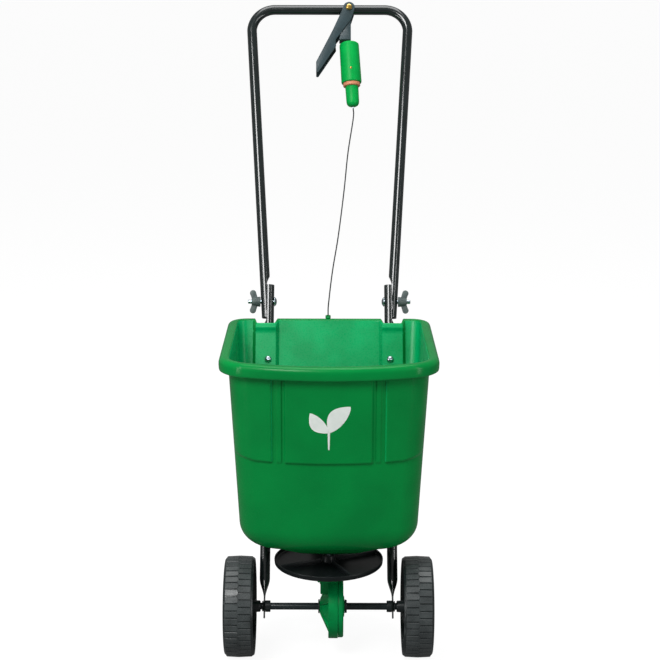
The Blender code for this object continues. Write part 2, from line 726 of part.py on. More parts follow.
def build_gate():
    """The shut-off gate, its guide under the floor, its wire and the cable's lower ferrule."""
    top = FLOOR_Z - GAP
    gate_thick = 0.0022
    gate_z = top - 0.0004 - gate_thick / 2
    guide = block("gate_guide", (0.0640, 0.0980, 0.0020), (0.0, 0.0590, gate_z - 0.0025),
        "black_plastic", ORIGIN)
    for side in (-1, 1):
        join(guide, block("rail_%d" % side, (0.0060, 0.0980, 0.0052),
                          (side * 0.0290, 0.0590, top - 0.0026), "black_plastic", ORIGIN))
    cut(guide, block("guide_port", (0.0340, 0.0220, 0.02), (0.0, 0.0300, gate_z), "black_plastic", ORIGIN))
    post_y = 0.1405
    join(guide, block("tail", (0.0100, 0.0420, 0.0020), (0.0, 0.1240, gate_z - 0.0025), "black_plastic", ORIGIN))
    join(guide, block("post", (0.0100, 0.0040, 0.0150), (0.0, post_y, gate_z + 0.0040), "black_plastic", ORIGIN))
    wire_z = gate_z + 0.0055
    cut(guide, rod("post_hole", 0.0034, 0.02, (0.0, post_y, wire_z), "black_plastic", ORIGIN, ALONG_Y, 16))
    gate = block("shutoff_gate", (0.0500, 0.0620, gate_thick), (0.0, 0.0490, gate_z), "natural_nylon",
        ORIGIN)
    join(gate, block("gate_tail", (0.0080, 0.0320, gate_thick), (0.0, 0.0930, gate_z), "natural_nylon", ORIGIN))
    join(gate, block("gate_ear", (0.0080, 0.0030, 0.0085), (0.0, 0.1060, gate_z + 0.0035), "natural_nylon", ORIGIN))
    cut(gate, rod("ear_hole", 0.0011, 0.01, (0.0, 0.1060, wire_z), "natural_nylon", ORIGIN, ALONG_Y, 8))
    wire_from = 0.1035
    wire_to = 0.1395
    rod("gate_wire", 0.0008, wire_to - wire_from, (0.0, (wire_from + wire_to) / 2, wire_z),
        "zinc_steel", ORIGIN,
        ALONG_Y, 8)
    turned(
        "cable_ferrule_lower",
        [(0.0011, 0.0), (0.0031, 0.0), (0.0031, 0.0360), (0.0, 0.0360), (0.0, 0.0340), (0.0011, 0.0340)],
        "zinc_steel", ORIGIN, (0.0, 0.1380, wire_z), ALONG_Y, 16,
    )
    return wire_z


def smooth_route(points, steps):
    """Points on a Catmull-Rom curve through these points."""
    ends = [points[0] * 2 - points[1], *points, points[-1] * 2 - points[-2]]
    made = []
    for i in range(1, len(ends) - 2):
        before, here, ahead, after = ends[i - 1], ends[i], ends[i + 1], ends[i + 2]
        for k in range(steps):
            t = k / steps
            made.append(
                0.5 * (2 * here + (ahead - before) * t + (2 * before - 5 * here + 4 * ahead - after) * t * t
                       + (3 * here - before - 3 * ahead + after) * t ** 3)
            )
    made.append(points[-1])
    return made


CABLE_R = 0.0012
FOLD_Y = FOLD_AT * math.sin(LEAN)
FOLD_Z = AXLE_Z + FOLD_AT * math.cos(LEAN)


def build_cable(wire_z):
    """The black control cable in two lengths that meet on the fold line, and its clip on the rim."""
    lower = [
        Vector((0.0, 0.1744, wire_z)), Vector((0.0, 0.1880, wire_z + 0.002)), Vector((0.0, 0.2010, 0.2220)),
        Vector((0.0, 0.2080, 0.2500)), Vector((0.0, 0.2120, 0.3200)), Vector((0.0, 0.2180, 0.4200)),
        Vector((0.0, 0.2350, 0.5000)), Vector((-0.0012, 0.2462, 0.5450)), Vector((-0.0021, 0.2465, 0.5850)),
        Vector((-0.0010, FOLD_Y + 0.0014, FOLD_Z - 0.0024)),
    ]
    tube("cable_lower", smooth_route(lower, 3), CABLE_R, "black_rubber", ORIGIN, 2)
    clip_z = 0.5800
    clip_at = (-0.0021, 0.2467, clip_z)
    clip = turned(
        "cable_clip", [(0.0025, -0.0050), (0.0050, -0.0050), (0.0050, 0.0060), (0.0025, 0.0060)],
        "green_plastic", ORIGIN, clip_at, sides=16,
    )
    join(clip, block("clip_tab", (0.0060, 0.0150, 0.0016), (-0.0021, 0.2355, clip_z - 0.0004), "green_plastic", ORIGIN))


def build_upper_cable():
    """The cable from the rate knob's ferrule to the fold line, given in the folding handle's own plane."""
    knob_end = -0.2035
    tilt = math.sin(GRIP_TILT)
    start = Vector((PIVOT_X - 0.0042 - knob_end * tilt, 0.0, HANDLE_TOP - FOLD_AT + knob_end * math.cos(GRIP_TILT)))
    route = [
        start, start + Vector((0.0000, 0.0, -0.0200)), Vector((0.0355, 0.0030, 0.2950)),
        Vector((0.0280, 0.0060, 0.2200)), Vector((0.0170, 0.0060, 0.1300)),
            Vector((0.0060, 0.0030, 0.0600)),
        Vector((-0.0008, 0.0, 0.0012)),
    ]
    return tube("cable_upper", smooth_route(route, 3), CABLE_R, "black_rubber", FOLD, 2)


def handle_points(shrink=0.0):
    """The U of the handle in the folding plane, counted from the fold line."""
    low = HANDLE_LOW - FOLD_AT - shrink
    top = HANDLE_TOP - FOLD_AT
    tilt = math.degrees(math.atan2(HANDLE_X_TOP - HANDLE_X_LOW, top - low))
    turn = 90 - tilt
    reach = HANDLE_CORNER * math.tan(math.radians(turn / 2))
    centre_x = HANDLE_X_TOP - reach
    bend = arc(centre_x, top - HANDLE_CORNER, HANDLE_CORNER, 90, 90 - turn, 8)
    slope = (HANDLE_X_TOP - HANDLE_X_LOW) / (HANDLE_TOP - HANDLE_LOW)
    end_x = HANDLE_X_LOW - slope * shrink
    half = [(0.0, top)] + bend + [(end_x, low)]
    left = [(-x, z) for x, z in reversed(half[1:])]
    return [Vector((x, 0.0, z)) for x, z in left + half]


def build_handle():
    """The U tube: hollow above the joint, squeezed flat inside where it lies on the lower tubes."""
    made = tube("handle_tube", handle_points(), TUBE_R, "black_paint", FOLD)
    bore_points = handle_points()
    low = 0.0560
    slope = (HANDLE_X_TOP - HANDLE_X_LOW) / (HANDLE_TOP - HANDLE_LOW)
    end = HANDLE_X_LOW + slope * (low + FOLD_AT - HANDLE_LOW)
    bore_points[0] = Vector((-end, 0.0, low))
    bore_points[-1] = Vector((end, 0.0, low))
    cut(made, tube("handle_bore", bore_points, TUBE_R - TUBE_WALL, "black_paint", FOLD))
    for side in (-1, 1):
        cut(made, block("handle_flat_%d" % side, (0.020, 0.040, 0.1150),
                        (side * (FOLD_FLAT_X - 0.010), 0.0, -0.0130), "black_paint", FOLD))
        cut(made, rod("handle_hole_%d" % side, 0.0043, 0.05, (side * 0.130, 0.0, 0.0), "black_paint", FOLD,
                      ALONG_X, 16))
    cut(made, rod("pivot_hole", 0.0033, 0.04, (0.0, 0.0, 0.0), "black_paint", PIVOT, ALONG_Y, 16))
    return made


def build_fold_hardware():
    """Carriage bolts through tube and handle, and the wing nuts outside."""
    head_x = leg_x(FOLD_AT) - TUBE_R - GAP
    tip = 0.1535
    wing_x = 0.1302
    for name, side in (("left", -1), ("right", 1)):
        turn = ALONG_X if side > 0 else ALONG_MINUS_X
        turned(
            "fold_bolt_" + name,
            [(0.0, head_x - 0.0048), (0.0050, head_x - 0.0042), (0.0088, head_x - 0.0016), (0.0090, head_x),
             (0.0038, head_x), (0.0038, tip - 0.001), (0.0030, tip), (0.0, tip)],
            "zinc_steel", FOLD, (0.0, 0.0, 0.0), turn, 16,
        )
        nut = turned(
            "wing_nut_" + name,
            [(0.0041, 0.0), (0.0095, 0.0), (0.0092, 0.0080), (0.0072, 0.0165), (0.0041, 0.0165)],
            "black_plastic", FOLD, (side * wing_x, 0.0, 0.0), turn, 16,
        )
        wing = [(0.0060, -0.0020), *arc(0.0170, 0.0075, 0.0060, -40, 130, 6), (0.0100, 0.0110),
            (0.0060, 0.0090)]
        for way in (-1, 1):
            plate = outline_plate(
                "wing_%s_%d" % (name, way), [(x - 0.0005, y * 1.0) for x, y in wing], 0.0034,
                "black_plastic", FOLD,
                (side * (wing_x + 0.0065), 0.0, 0.0), (math.radians(90), 0.0, 0.0),
            )
            for vert in plate.data.vertices:
                along, out, deep = vert.co
                vert.co = (side * out, along * way, deep)
            repair = bmesh.new()
            repair.from_mesh(plate.data)
            bmesh.ops.recalc_face_normals(repair, faces=repair.faces[:])
            repair.to_mesh(plate.data)
            repair.free()
            join(nut, plate)


def build_hopper_screws():
    """Dome-headed screws through the hopper and the tubes, with nuts behind."""
    wall_front = -0.0138
    for name, side in (("left", -1), ("right", 1)):
        turned(
            "hopper_screw_" + name,
            [(0.0, -0.0040), (0.0035, -0.0034), (0.0062, -0.0012), (0.0064, 0.0), (0.0024, 0.0),
            (0.0024, 0.0300),
             (0.0, 0.0300)],
            "zinc_steel", PLANE, (side * SCREW_X, wall_front - GAP, SCREW_AT), ALONG_Y, 16,
        )
        turned(
            "hopper_nut_" + name, [(0.0030, 0.0), (0.0052, 0.0), (0.0052, 0.0042), (0.0030, 0.0042)],
            "zinc_steel", PLANE, (side * SCREW_X, TUBE_R + GAP, SCREW_AT), ALONG_Y, 6,
        )


def stand_foot_flat(foot):
    """Bring the foot's underside level with the ground."""
    tilt = foot.rotation_euler.x
    for vert in foot.data.vertices:
        if vert.co.z < 0.003:
            lowest = 0.0 if vert.co.z < 0.001 else 0.0020
            vert.co.z = (lowest - math.sin(tilt) * vert.co.y) / math.cos(tilt)


def build_brace_and_stand():
    """The cross brace behind the tubes, the stand leg with its foot, and the gearbox stay."""
    brace_y = TUBE_R + GAP + 0.0015
    brace = block("cross_brace", (0.2500, 0.0030, 0.0240), (0.0, brace_y, BRACE_AT), "black_paint",
        PLANE, 0.0008)
    for name, side in (("left", -1), ("right", 1)):
        cut(brace, rod("brace_hole_" + name, 0.0028, 0.02, (side * BRACE_X, brace_y, BRACE_AT), "black_paint", PLANE,
                       ALONG_Y, 12))
        turned(
            "brace_bolt_" + name,
            [(0.0, 0.0035), (0.0045, 0.0028), (0.0050, 0.0), (0.0024, 0.0), (0.0024, -0.0160),
            (0.0, -0.0160)],
            "zinc_steel", PLANE, (side * BRACE_X, brace_y + 0.0015 + GAP, BRACE_AT), ALONG_Y, 16,
        )
    leg_r = 0.0055
    top_z = AXLE_Z + BRACE_AT * math.cos(LEAN)
    top_y = BRACE_AT * math.sin(LEAN) + (brace_y + 0.0015 + GAP + leg_r) / math.cos(LEAN)
    leg = [
        Vector((STAND_X, top_y, top_z - 0.0005)), Vector((STAND_X, top_y + 0.0010, top_z - 0.0300)),
        Vector((STAND_X, 0.1250, 0.2100)), Vector((STAND_X, 0.1440, 0.1100)),
            Vector((STAND_X, 0.1600, 0.0120)),
    ]
    stand = tube("rear_stand", leg, leg_r, "black_paint", ORIGIN, 2)
    foot = turned(
        "stand_foot",
        [(0.0, 0.0), (0.0100, 0.0), (0.0110, 0.0020), (0.0085, 0.0260), (leg_r + GAP, 0.0260),
        (leg_r + GAP, 0.0100),
         (0.0, 0.0100)],
        "black_rubber", ORIGIN, (STAND_X, 0.16196, 0.0), (math.radians(9.27), 0.0, 0.0), 16,
    )
    stand_foot_flat(foot)
    plate = block("stand_plate", (0.0300, 0.0030, 0.0220),
        (STAND_X, brace_y + 0.0015 + GAP + 0.0015, BRACE_AT),
                  "black_paint", PLANE)
    join(stand, plate)
    stay = outline_plate(
        "gearbox_stay",
        [(0.0203, -STAND_X - 0.0055), (0.1290, -STAND_X - 0.0055), (0.1290, -STAND_X + 0.0055),
        (0.0203, -STAND_X + 0.0055)],
        0.0030, "black_paint", ORIGIN, (0.0, 0.0, AXLE_Z + 0.0620), (0.0, 0.0, math.radians(90)),
    )
    return stand, foot, stay


def build_trigger():
    """The lever that straddles the bar, its bracket, the pivot bolt and the pull rod."""
    face = (math.radians(90), 0.0, 0.0)
    lever_out = 0.0136
    skin = 0.0024
    flange = [
        *arc(0.0, 0.0, 0.0113, -20, 180, 10), (-0.0322, -0.0478), (-0.0640, -0.1125), (-0.0640, -0.1335),
        (-0.0600, -0.1342), (-0.0250, -0.0800), (-0.0263, -0.0672), (0.0040, -0.0246),
    ]
    lever = outline_plate("trigger_lever", flange, skin, "slate_plastic", PIVOT, (0.0, -lever_out, 0.0),
        face)
    rear = outline_plate("lever_rear", flange, skin, "slate_plastic", PIVOT, (0.0, lever_out, 0.0), face)
    web = outline_plate(
        "lever_web",
        [(-0.0286, -0.0400), (-0.0321, -0.0477), (-0.0639, -0.1124), (-0.0639, -0.1334), (-0.0614, -0.1316),
         (-0.0614, -0.1128), (-0.0301, -0.0490), (-0.0266, -0.0420)],
        2 * lever_out, "slate_plastic", PIVOT, (0.0, 0.0, 0.0), face,
    )
    join(lever, web)
    join(lever, rear)
    cut(lever, rod("lever_hole", 0.0033, 0.05, (0.0, 0.0, 0.0), "slate_plastic", PIVOT, ALONG_Y, 16))
    cheek_out = 0.0111
    cheek = [*arc(0.0, 0.0, 0.0085, 0, 180, 8), (-0.0124, -0.0285), (-0.0190, -0.0655), (0.0036, -0.0655),
             (0.0036, -0.0200)]
    bracket = outline_plate("lever_bracket", cheek, 0.0020, "slate_plastic", PIVOT,
        (0.0, -cheek_out, 0.0), face)
    join(bracket, outline_plate("cheek_rear", cheek, 0.0020, "slate_plastic", PIVOT, (0.0, cheek_out, 0.0), face))
    foot = block("bracket_foot", (0.0226, 2 * cheek_out, 0.0024), (-0.0077, 0.0, -0.0643),
        "slate_plastic", PIVOT)
    join(bracket, foot)
    cut(bracket, rod("bracket_hole", 0.0033, 0.05, (0.0, 0.0, 0.0), "slate_plastic", PIVOT, ALONG_Y, 16))
    cut(bracket, rod("rod_way", 0.0022, 0.02, (0.0, 0.0, -0.0645), "slate_plastic", GRIP, sides=12))
    turned(
        "pivot_bolt",
        [(0.0, -0.0195), (0.0040, -0.0190), (0.0062, -0.0172), (0.0062, -0.0152), (0.0030, -0.0152),
         (0.0030, 0.0200), (0.0, 0.0200)],
        "brass", PIVOT, (0.0, 0.0, 0.0), ALONG_Y, 16,
    )
    turned(
        "pivot_nut", [(0.0038, 0.0152), (0.0062, 0.0152), (0.0062, 0.0195), (0.0038, 0.0195)],
        "zinc_steel", PIVOT, (0.0, 0.0, 0.0), ALONG_Y, 6,
    )


def build_grip():
    """The control grip: green barrel, its rivet, the coloured ring, the rate knob and the pull rod inside."""
    top = -0.0698
    low = -0.1515
    grip = turned(
        "grip_barrel",
        [
            (0.0032, top), (0.0170, top), (0.0190, top - 0.0020), (0.0197, low + 0.0015), (0.0190, low),
            (0.0130, low), (0.0130, low + 0.0400), (0.0060, low + 0.0460), (0.0032, top - 0.0030),
        ],
        "bright_green_plastic", GRIP,
    )
    rivet_z = -0.1264
    cut(grip, rod("rivet_hole", 0.0026, 0.012, (0.0, -0.0180, rivet_z), "bright_green_plastic", GRIP, ALONG_Y, 12))
    turned(
        "grip_rivet", [(0.0, -0.0206), (0.0018, -0.0204), (0.0023, -0.0190), (0.0023, -0.0140),
        (0.0, -0.0140)],
        "brass", GRIP, (0.0, 0.0, rivet_z), ALONG_Y, 12,
    )
    ring_low = low - 0.0070
    turned(
        "colour_ring",
        [(0.0110, low - GAP), (0.0166, low - GAP), (0.0166, ring_low + 0.0010), (0.0150, ring_low),
         (0.0110, ring_low)],
        "copper_ring", GRIP,
    )
    knob_low = low - 0.0475
    turned(
        "rate_knob",
        [
            (0.0020, low + 0.0200), (0.0105, low + 0.0200), (0.0105, ring_low - GAP), (0.0128,
            ring_low - GAP),
            (0.0123, knob_low + 0.0070), (0.0105, knob_low + 0.0022), (0.0070, knob_low), (0.0020,
            knob_low),
        ],
        "bright_green_plastic", GRIP,
    )
    rod("cable_ferrule_upper", 0.0015, 0.0200, (0.0, 0.0, -0.1930), "zinc_steel", GRIP, sides=12)
    rod("pull_rod", 0.0014, 0.0480, (0.0, 0.0, -0.0855), "zinc_steel", GRIP, sides=12)


for wheel_name, wheel_side in (("drive_wheel", -1), ("free_wheel", 1)):
    build_wheel(wheel_name, wheel_side)
for tube_name, tube_side in (("frame_tube_left", -1), ("frame_tube_right", 1)):
    frame_tube(tube_name, tube_side)
build_hopper()
build_axle()
build_bushes()
build_ring_gear()
build_pinion()
build_gearbox()
build_impeller()
build_cable(build_gate())
build_upper_cable()
build_handle()
build_fold_hardware()
build_hopper_screws()
build_brace_and_stand()
build_trigger()
build_grip()
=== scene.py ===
"""Detailed pieces and finishes for a walk-behind garden spreader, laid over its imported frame."""

import logging
import math
from dataclasses import dataclass
from enum import Enum
from typing import Callable, Sequence

import bmesh
import bpy
from mathutils import Matrix, Vector


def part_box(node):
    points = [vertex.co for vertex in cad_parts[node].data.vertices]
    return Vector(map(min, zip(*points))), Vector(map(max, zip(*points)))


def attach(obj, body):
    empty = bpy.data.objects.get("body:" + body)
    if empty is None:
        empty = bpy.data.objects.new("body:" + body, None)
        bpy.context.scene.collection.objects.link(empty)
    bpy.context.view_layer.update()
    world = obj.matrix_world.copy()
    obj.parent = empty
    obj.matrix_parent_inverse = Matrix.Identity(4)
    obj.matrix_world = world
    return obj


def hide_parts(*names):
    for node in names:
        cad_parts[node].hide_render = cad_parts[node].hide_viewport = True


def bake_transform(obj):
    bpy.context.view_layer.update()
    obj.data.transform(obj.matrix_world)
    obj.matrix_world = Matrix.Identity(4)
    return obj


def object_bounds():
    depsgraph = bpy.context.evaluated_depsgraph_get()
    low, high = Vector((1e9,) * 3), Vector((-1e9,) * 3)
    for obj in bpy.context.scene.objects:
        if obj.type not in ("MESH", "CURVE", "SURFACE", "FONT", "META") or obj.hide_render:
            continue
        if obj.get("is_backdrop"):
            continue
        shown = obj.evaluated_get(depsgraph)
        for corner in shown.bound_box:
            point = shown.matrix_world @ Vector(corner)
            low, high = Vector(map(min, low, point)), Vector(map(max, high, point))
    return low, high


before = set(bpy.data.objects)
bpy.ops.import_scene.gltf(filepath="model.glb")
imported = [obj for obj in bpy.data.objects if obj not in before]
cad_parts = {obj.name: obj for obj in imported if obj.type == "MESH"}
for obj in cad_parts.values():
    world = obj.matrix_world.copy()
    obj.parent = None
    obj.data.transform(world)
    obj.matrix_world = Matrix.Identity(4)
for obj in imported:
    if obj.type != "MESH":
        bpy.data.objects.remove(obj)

LOG = logging.getLogger("garden_spreader")
CAD_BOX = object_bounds()

Point = tuple[float, float]
Level = list[Vector]

AXLE_Z = 0.0915
AXLE_Y = CAD_BOX[0][1] + 0.15708
AXLE_R = 0.00635
LEAN = math.radians(24.5)
FOLD_AT = 0.569
HANDLE_TOP = 1.1558
PIVOT_X = 0.0375
GRIP_X = -0.0042
GRIP_TILT = math.radians(3.5)
TUBE_R = 0.0095
LEG_X_LOW = 0.117
LEG_X_TOP = 0.1135
LEG_TOP = 0.601
FOLD_FLAT_X = 0.1185
ROUND = 64
SIDES = (("left", -1), ("right", 1))
FIT = 0.0003
RUNNING_FIT = 0.00015


def shift(x: float, y: float, z: float) -> Matrix:
    """A move along X, Y and Z."""
    return Matrix.Translation((x, y, z))


def spin(degrees: float, axis: str) -> Matrix:
    """A turn about one of the three axes."""
    return Matrix.Rotation(math.radians(degrees), 4, axis)


ORIGIN = shift(0.0, AXLE_Y, 0.0)
AXLE = ORIGIN @ shift(0.0, 0.0, AXLE_Z)
PLANE = AXLE @ Matrix.Rotation(-LEAN, 4, "X")
FOLD = PLANE @ shift(0.0, 0.0, FOLD_AT)
PIVOT = FOLD @ shift(PIVOT_X, 0.0, HANDLE_TOP - FOLD_AT)
GRIP = PIVOT @ shift(GRIP_X, 0.0, 0.0) @ Matrix.Rotation(-GRIP_TILT, 4, "Y")
TO_X = spin(90, "Y")
TO_MINUS_X = spin(-90, "Y")
TO_Y = spin(-90, "X")
UPRIGHT = spin(90, "X")


def leg_x(along: float) -> float:
    """How far from the middle a lower tube is, this far up from the axle."""
    return LEG_X_LOW + (LEG_X_TOP - LEG_X_LOW) * along / LEG_TOP


def tube_y(z: float) -> float:
    """Where the lower tubes' middle lies, counted from the axle, at this height."""
    return math.tan(LEAN) * (z - AXLE_Z)


def ease(value: float, low: float, high: float) -> float:
    """A smooth step from 0 at low to 1 at high."""
    share = min(1.0, max(0.0, (value - low) / (high - low)))
    return share * share * (3.0 - 2.0 * share)


def spread(low: float, high: float, count: int) -> list[float]:
    """Evenly spaced values from low to high, both included."""
    return [low + (high - low) * i / (count - 1) for i in range(count)]


def fillet(corners: Sequence[Point], radius: float, steps: int = 4) -> list[Point]:
    """Round every corner of a closed outline.

    Args:
        corners: The outline's corner points in order.
        radius: The largest radius; a short edge makes it smaller.
        steps: How many segments each round has.

    Returns:
        The rounded outline.
    """
    made = []
    for i, corner in enumerate(corners):
        here = Vector(corner)
        before = Vector(corners[i - 1]) - here
        after = Vector(corners[(i + 1) % len(corners)]) - here
        if before.length < 1e-9 or after.length < 1e-9:
            continue
        half = before.angle(after) / 2.0
        if abs(here.x) < 1e-9 or half > math.radians(84):
            made.append((here.x, here.y))
            continue
        reach = min(radius / math.tan(half), before.length * 0.45, after.length * 0.45)
        start = here + before.normalized() * reach
        end = here + after.normalized() * reach
        for k in range(steps + 1):
            t = k / steps
            at = start * (1 - t) ** 2 + here * 2 * t * (1 - t) + end * t * t
            made.append((at.x, at.y))
    return made


def arc(centre: Point, radius: float, start: float, end: float, steps: int) -> list[Point]:
    """Points on an arc, its angles in degrees."""
    made = []
    for angle in spread(math.radians(start), math.radians(end), steps + 1):
        made.append((centre[0] + radius * math.cos(angle), centre[1] + radius * math.sin(angle)))
    return made


def curve_through(points: Sequence[Vector], steps: int) -> list[Vector]:
    """Points on a Catmull-Rom curve through these points."""
    ends = [points[0] * 2 - points[1], *points, points[-1] * 2 - points[-2]]
    made = []
    for a, b, c, d in zip(ends, ends[1:], ends[2:], ends[3:]):
        for k in range(steps):
            t = k / steps
            square = (2 * a - 5 * b + 4 * c - d) * t * t
            made.append(0.5 * (2 * b + (c - a) * t + square + (3 * b - a - 3 * c + d) * t ** 3))
    return made + [points[-1]]


class Bench:
    """The few ways in which this object's pieces are modelled."""

    @staticmethod
    def clear() -> None:
        """Leave edit mode and deselect everything."""
        if bpy.context.object and bpy.context.object.mode != "OBJECT":
            bpy.ops.object.mode_set(mode="OBJECT")
        bpy.ops.object.select_all(action="DESELECT")

    @staticmethod
    def pick(piece: bpy.types.Object) -> None:
        """Make this the only selected object, and the active one."""
        Bench.clear()
        piece.select_set(True)
        bpy.context.view_layer.objects.active = piece

    @staticmethod
    def tidy(piece: bpy.types.Object) -> bpy.types.Object:
        """Merge doubles and turn every face outwards."""
        Bench.pick(piece)
        bpy.ops.object.mode_set(mode="EDIT")
        bpy.ops.mesh.select_all(action="SELECT")
        bpy.ops.mesh.remove_doubles(threshold=0.000002)
        bpy.ops.mesh.normals_make_consistent(inside=False)
        bpy.ops.object.mode_set(mode="OBJECT")
        return piece

    @staticmethod
    def place(piece: bpy.types.Object, matrix: Matrix) -> bpy.types.Object:
        """Put the piece where the matrix says, with its place kept in its mesh."""
        Bench.pick(piece)
        piece.matrix_world = matrix @ piece.matrix_world
        bpy.ops.object.transform_apply(location=True, rotation=True, scale=True)
        return piece

    @staticmethod
    def loft(levels: Sequence[Level], closed: bool = False) -> bpy.types.Object:
        """Extrude a ring from level to level.

        Args:
            levels: Rings of equally many points.
            closed: Whether the last ring meets the first; otherwise both ends are capped.

        Returns:
            The new piece.
        """
        Bench.clear()
        fill = "NOTHING" if closed else "NGON"
        bpy.ops.mesh.primitive_circle_add(vertices=len(levels[0]), radius=0.01, fill_type=fill)
        piece = bpy.context.object
        bpy.ops.object.mode_set(mode="EDIT")
        bm = bmesh.from_edit_mesh(piece.data)
        order = bm.verts.layers.int.new("order")
        bm.verts.ensure_lookup_table()
        for i, vert in enumerate(bm.verts):
            vert[order] = i
            vert.co = levels[0][i]
        bmesh.update_edit_mesh(piece.data)
        rest = [*levels[1:], levels[0]] if closed else levels[1:]
        for level in rest:
            bpy.ops.mesh.extrude_region_move()
            bm = bmesh.from_edit_mesh(piece.data)
            order = bm.verts.layers.int["order"]
            for vert in bm.verts:
                if vert.select:
                    vert.co = level[vert[order]]
        bm = bmesh.from_edit_mesh(piece.data)
        bm.verts.layers.int.remove(bm.verts.layers.int["order"])
        bmesh.update_edit_mesh(piece.data)
        bpy.ops.object.mode_set(mode="OBJECT")
        return Bench.tidy(piece)

    @staticmethod
    def turned(profile: Sequence[Point], radius: float = 0.0004, sides: int = ROUND) -> bpy.types.Object:
        """Spin a closed profile of (radius, height) about Z, its corners rounded."""
        outline = fillet(profile, radius, 3) if radius else list(profile)
        Bench.clear()
        bpy.ops.mesh.primitive_circle_add(vertices=len(outline), radius=0.01, fill_type="NOTHING")
        piece = bpy.context.object
        bpy.ops.object.mode_set(mode="EDIT")
        bm = bmesh.from_edit_mesh(piece.data)
        bm.verts.ensure_lookup_table()
        for vert, (out, up) in zip(bm.verts, outline):
            vert.co = (out, 0.0, up)
        bmesh.update_edit_mesh(piece.data)
        bpy.ops.mesh.select_all(action="SELECT")
        bpy.ops.mesh.spin(steps=sides, angle=2 * math.pi, center=(0, 0, 0), axis=(0, 0, 1))
        bpy.ops.object.mode_set(mode="OBJECT")
        return Bench.tidy(piece)

    @staticmethod
    def plate(outline: Sequence[Point], thickness: float, edge: float = 0.0004) -> bpy.types.Object:
        """Extrude a flat outline in XY to both sides of its plane and bevel its edges."""
        low = [Vector((x, y, -thickness / 2)) for x, y in outline]
        high = [Vector((x, y, thickness / 2)) for x, y in outline]
        piece = Bench.loft([low, high])
        return Bench.bevel(piece, edge, 2) if edge else piece

    @staticmethod
    def block(size: Sequence[float], centre: Sequence[float], edge: float = 0.0006) -> bpy.types.Object:
        """A box with bevelled edges."""
        Bench.clear()
        bpy.ops.mesh.primitive_cube_add(size=1.0, location=centre, scale=size)
        bpy.ops.object.transform_apply(location=True, rotation=True, scale=True)
        return Bench.bevel(bpy.context.object, edge, 2)

    @staticmethod
    def pipe(path: Sequence[Vector], radius: float, sides: int = 32, squeeze: Callable | None = None,
             wall: float = 0.0, side: Vector | None = None) -> bpy.types.Object:
        """Sweep a round section along a path.

        Args:
            path: Points along the middle.
            radius: The pipe's outer radius.
            sides: Points round the section.
            squeeze: Reshapes a point of the surface, for flattened stretches.
            wall: The wall shown at open ends; 0 closes them flat.
            side: A direction that the section's first point keeps to.

        Returns:
            The new piece.
        """
        side = side or Vector((0.0, 1.0, 0.0))
        levels = []
        last = len(path) - 1
        for i, point in enumerate(path):
            along = (path[min(i + 1, last)] - path[max(i - 1, 0)]).normalized()
            across = (side - along * side.dot(along)).normalized()
            other = along.cross(across)
            level = []
            for k in range(sides):
                angle = 2 * math.pi * k / sides
                at = point + (across * math.cos(angle) + other * math.sin(angle)) * radius
                level.append(squeeze(at, point) if squeeze else at)
            levels.append(level)
        if wall:
            share = wall / radius
            for end, along in ((0, path[1] - path[0]), (-1, path[-2] - path[-1])):
                lip = levels[end]
                middle = sum(lip, Vector()) / len(lip)
                inner = [at.lerp(middle, share) for at in lip]
                deep = [at + along.normalized() * radius * 2 for at in inner]
                levels = [deep, inner, *levels] if end == 0 else [*levels, inner, deep]
        return Bench.loft(levels)

    @staticmethod
    def bevel(piece: bpy.types.Object, width: float, segments: int = 2,
              angle: float = 40.0) -> bpy.types.Object:
        """Bevel the edges that are sharper than the angle."""
        Bench.pick(piece)
        change = piece.modifiers.new("bevel", "BEVEL")
        change.width = width
        change.segments = segments
        change.limit_method = "ANGLE"
        change.angle_limit = math.radians(angle)
        bpy.ops.object.modifier_apply(modifier=change.name)
        return piece

    @staticmethod
    def combine(piece: bpy.types.Object, tool: bpy.types.Object,
                operation: str = "DIFFERENCE") -> bpy.types.Object:
        """Cut the tool out of the piece, or join it on, and remove the tool."""
        Bench.pick(piece)
        change = piece.modifiers.new("shape", "BOOLEAN")
        change.operation = operation
        change.solver = "EXACT"
        change.object = tool
        bpy.ops.object.modifier_apply(modifier=change.name)
        bpy.data.objects.remove(tool)
        return piece

    @staticmethod
    def together(pieces: Sequence[bpy.types.Object]) -> bpy.types.Object:
        """Join several meshes into the first one."""
        Bench.clear()
        for piece in pieces:
            piece.select_set(True)
        bpy.context.view_layer.objects.active = pieces[0]
        bpy.ops.object.join()
        return pieces[0]

    @staticmethod
    def copy(piece: bpy.types.Object, matrix: Matrix) -> bpy.types.Object:
        """A copy with its own mesh, moved by the matrix."""
        twin = piece.copy()
        twin.data = piece.data.copy()
        bpy.context.collection.objects.link(twin)
        return Bench.place(twin, matrix)

    @staticmethod
    def bore(radius: float, length: float, matrix: Matrix) -> bpy.types.Object:
        """A round cutter about the matrix's own Z axis."""
        Bench.clear()
        bpy.ops.mesh.primitive_cylinder_add(vertices=40, radius=radius, depth=length)
        return Bench.place(bpy.context.object, matrix)


def linear(hex_colour: str) -> tuple[float, float, float, float]:
    """An sRGB hex colour as linear values with full opacity."""
    parts = [int(hex_colour[i:i + 2], 16) / 255 for i in (0, 2, 4)]
    lit = [p / 12.92 if p <= 0.04045 else ((p + 0.055) / 1.055) ** 2.4 for p in parts]
    return (*lit, 1.0)


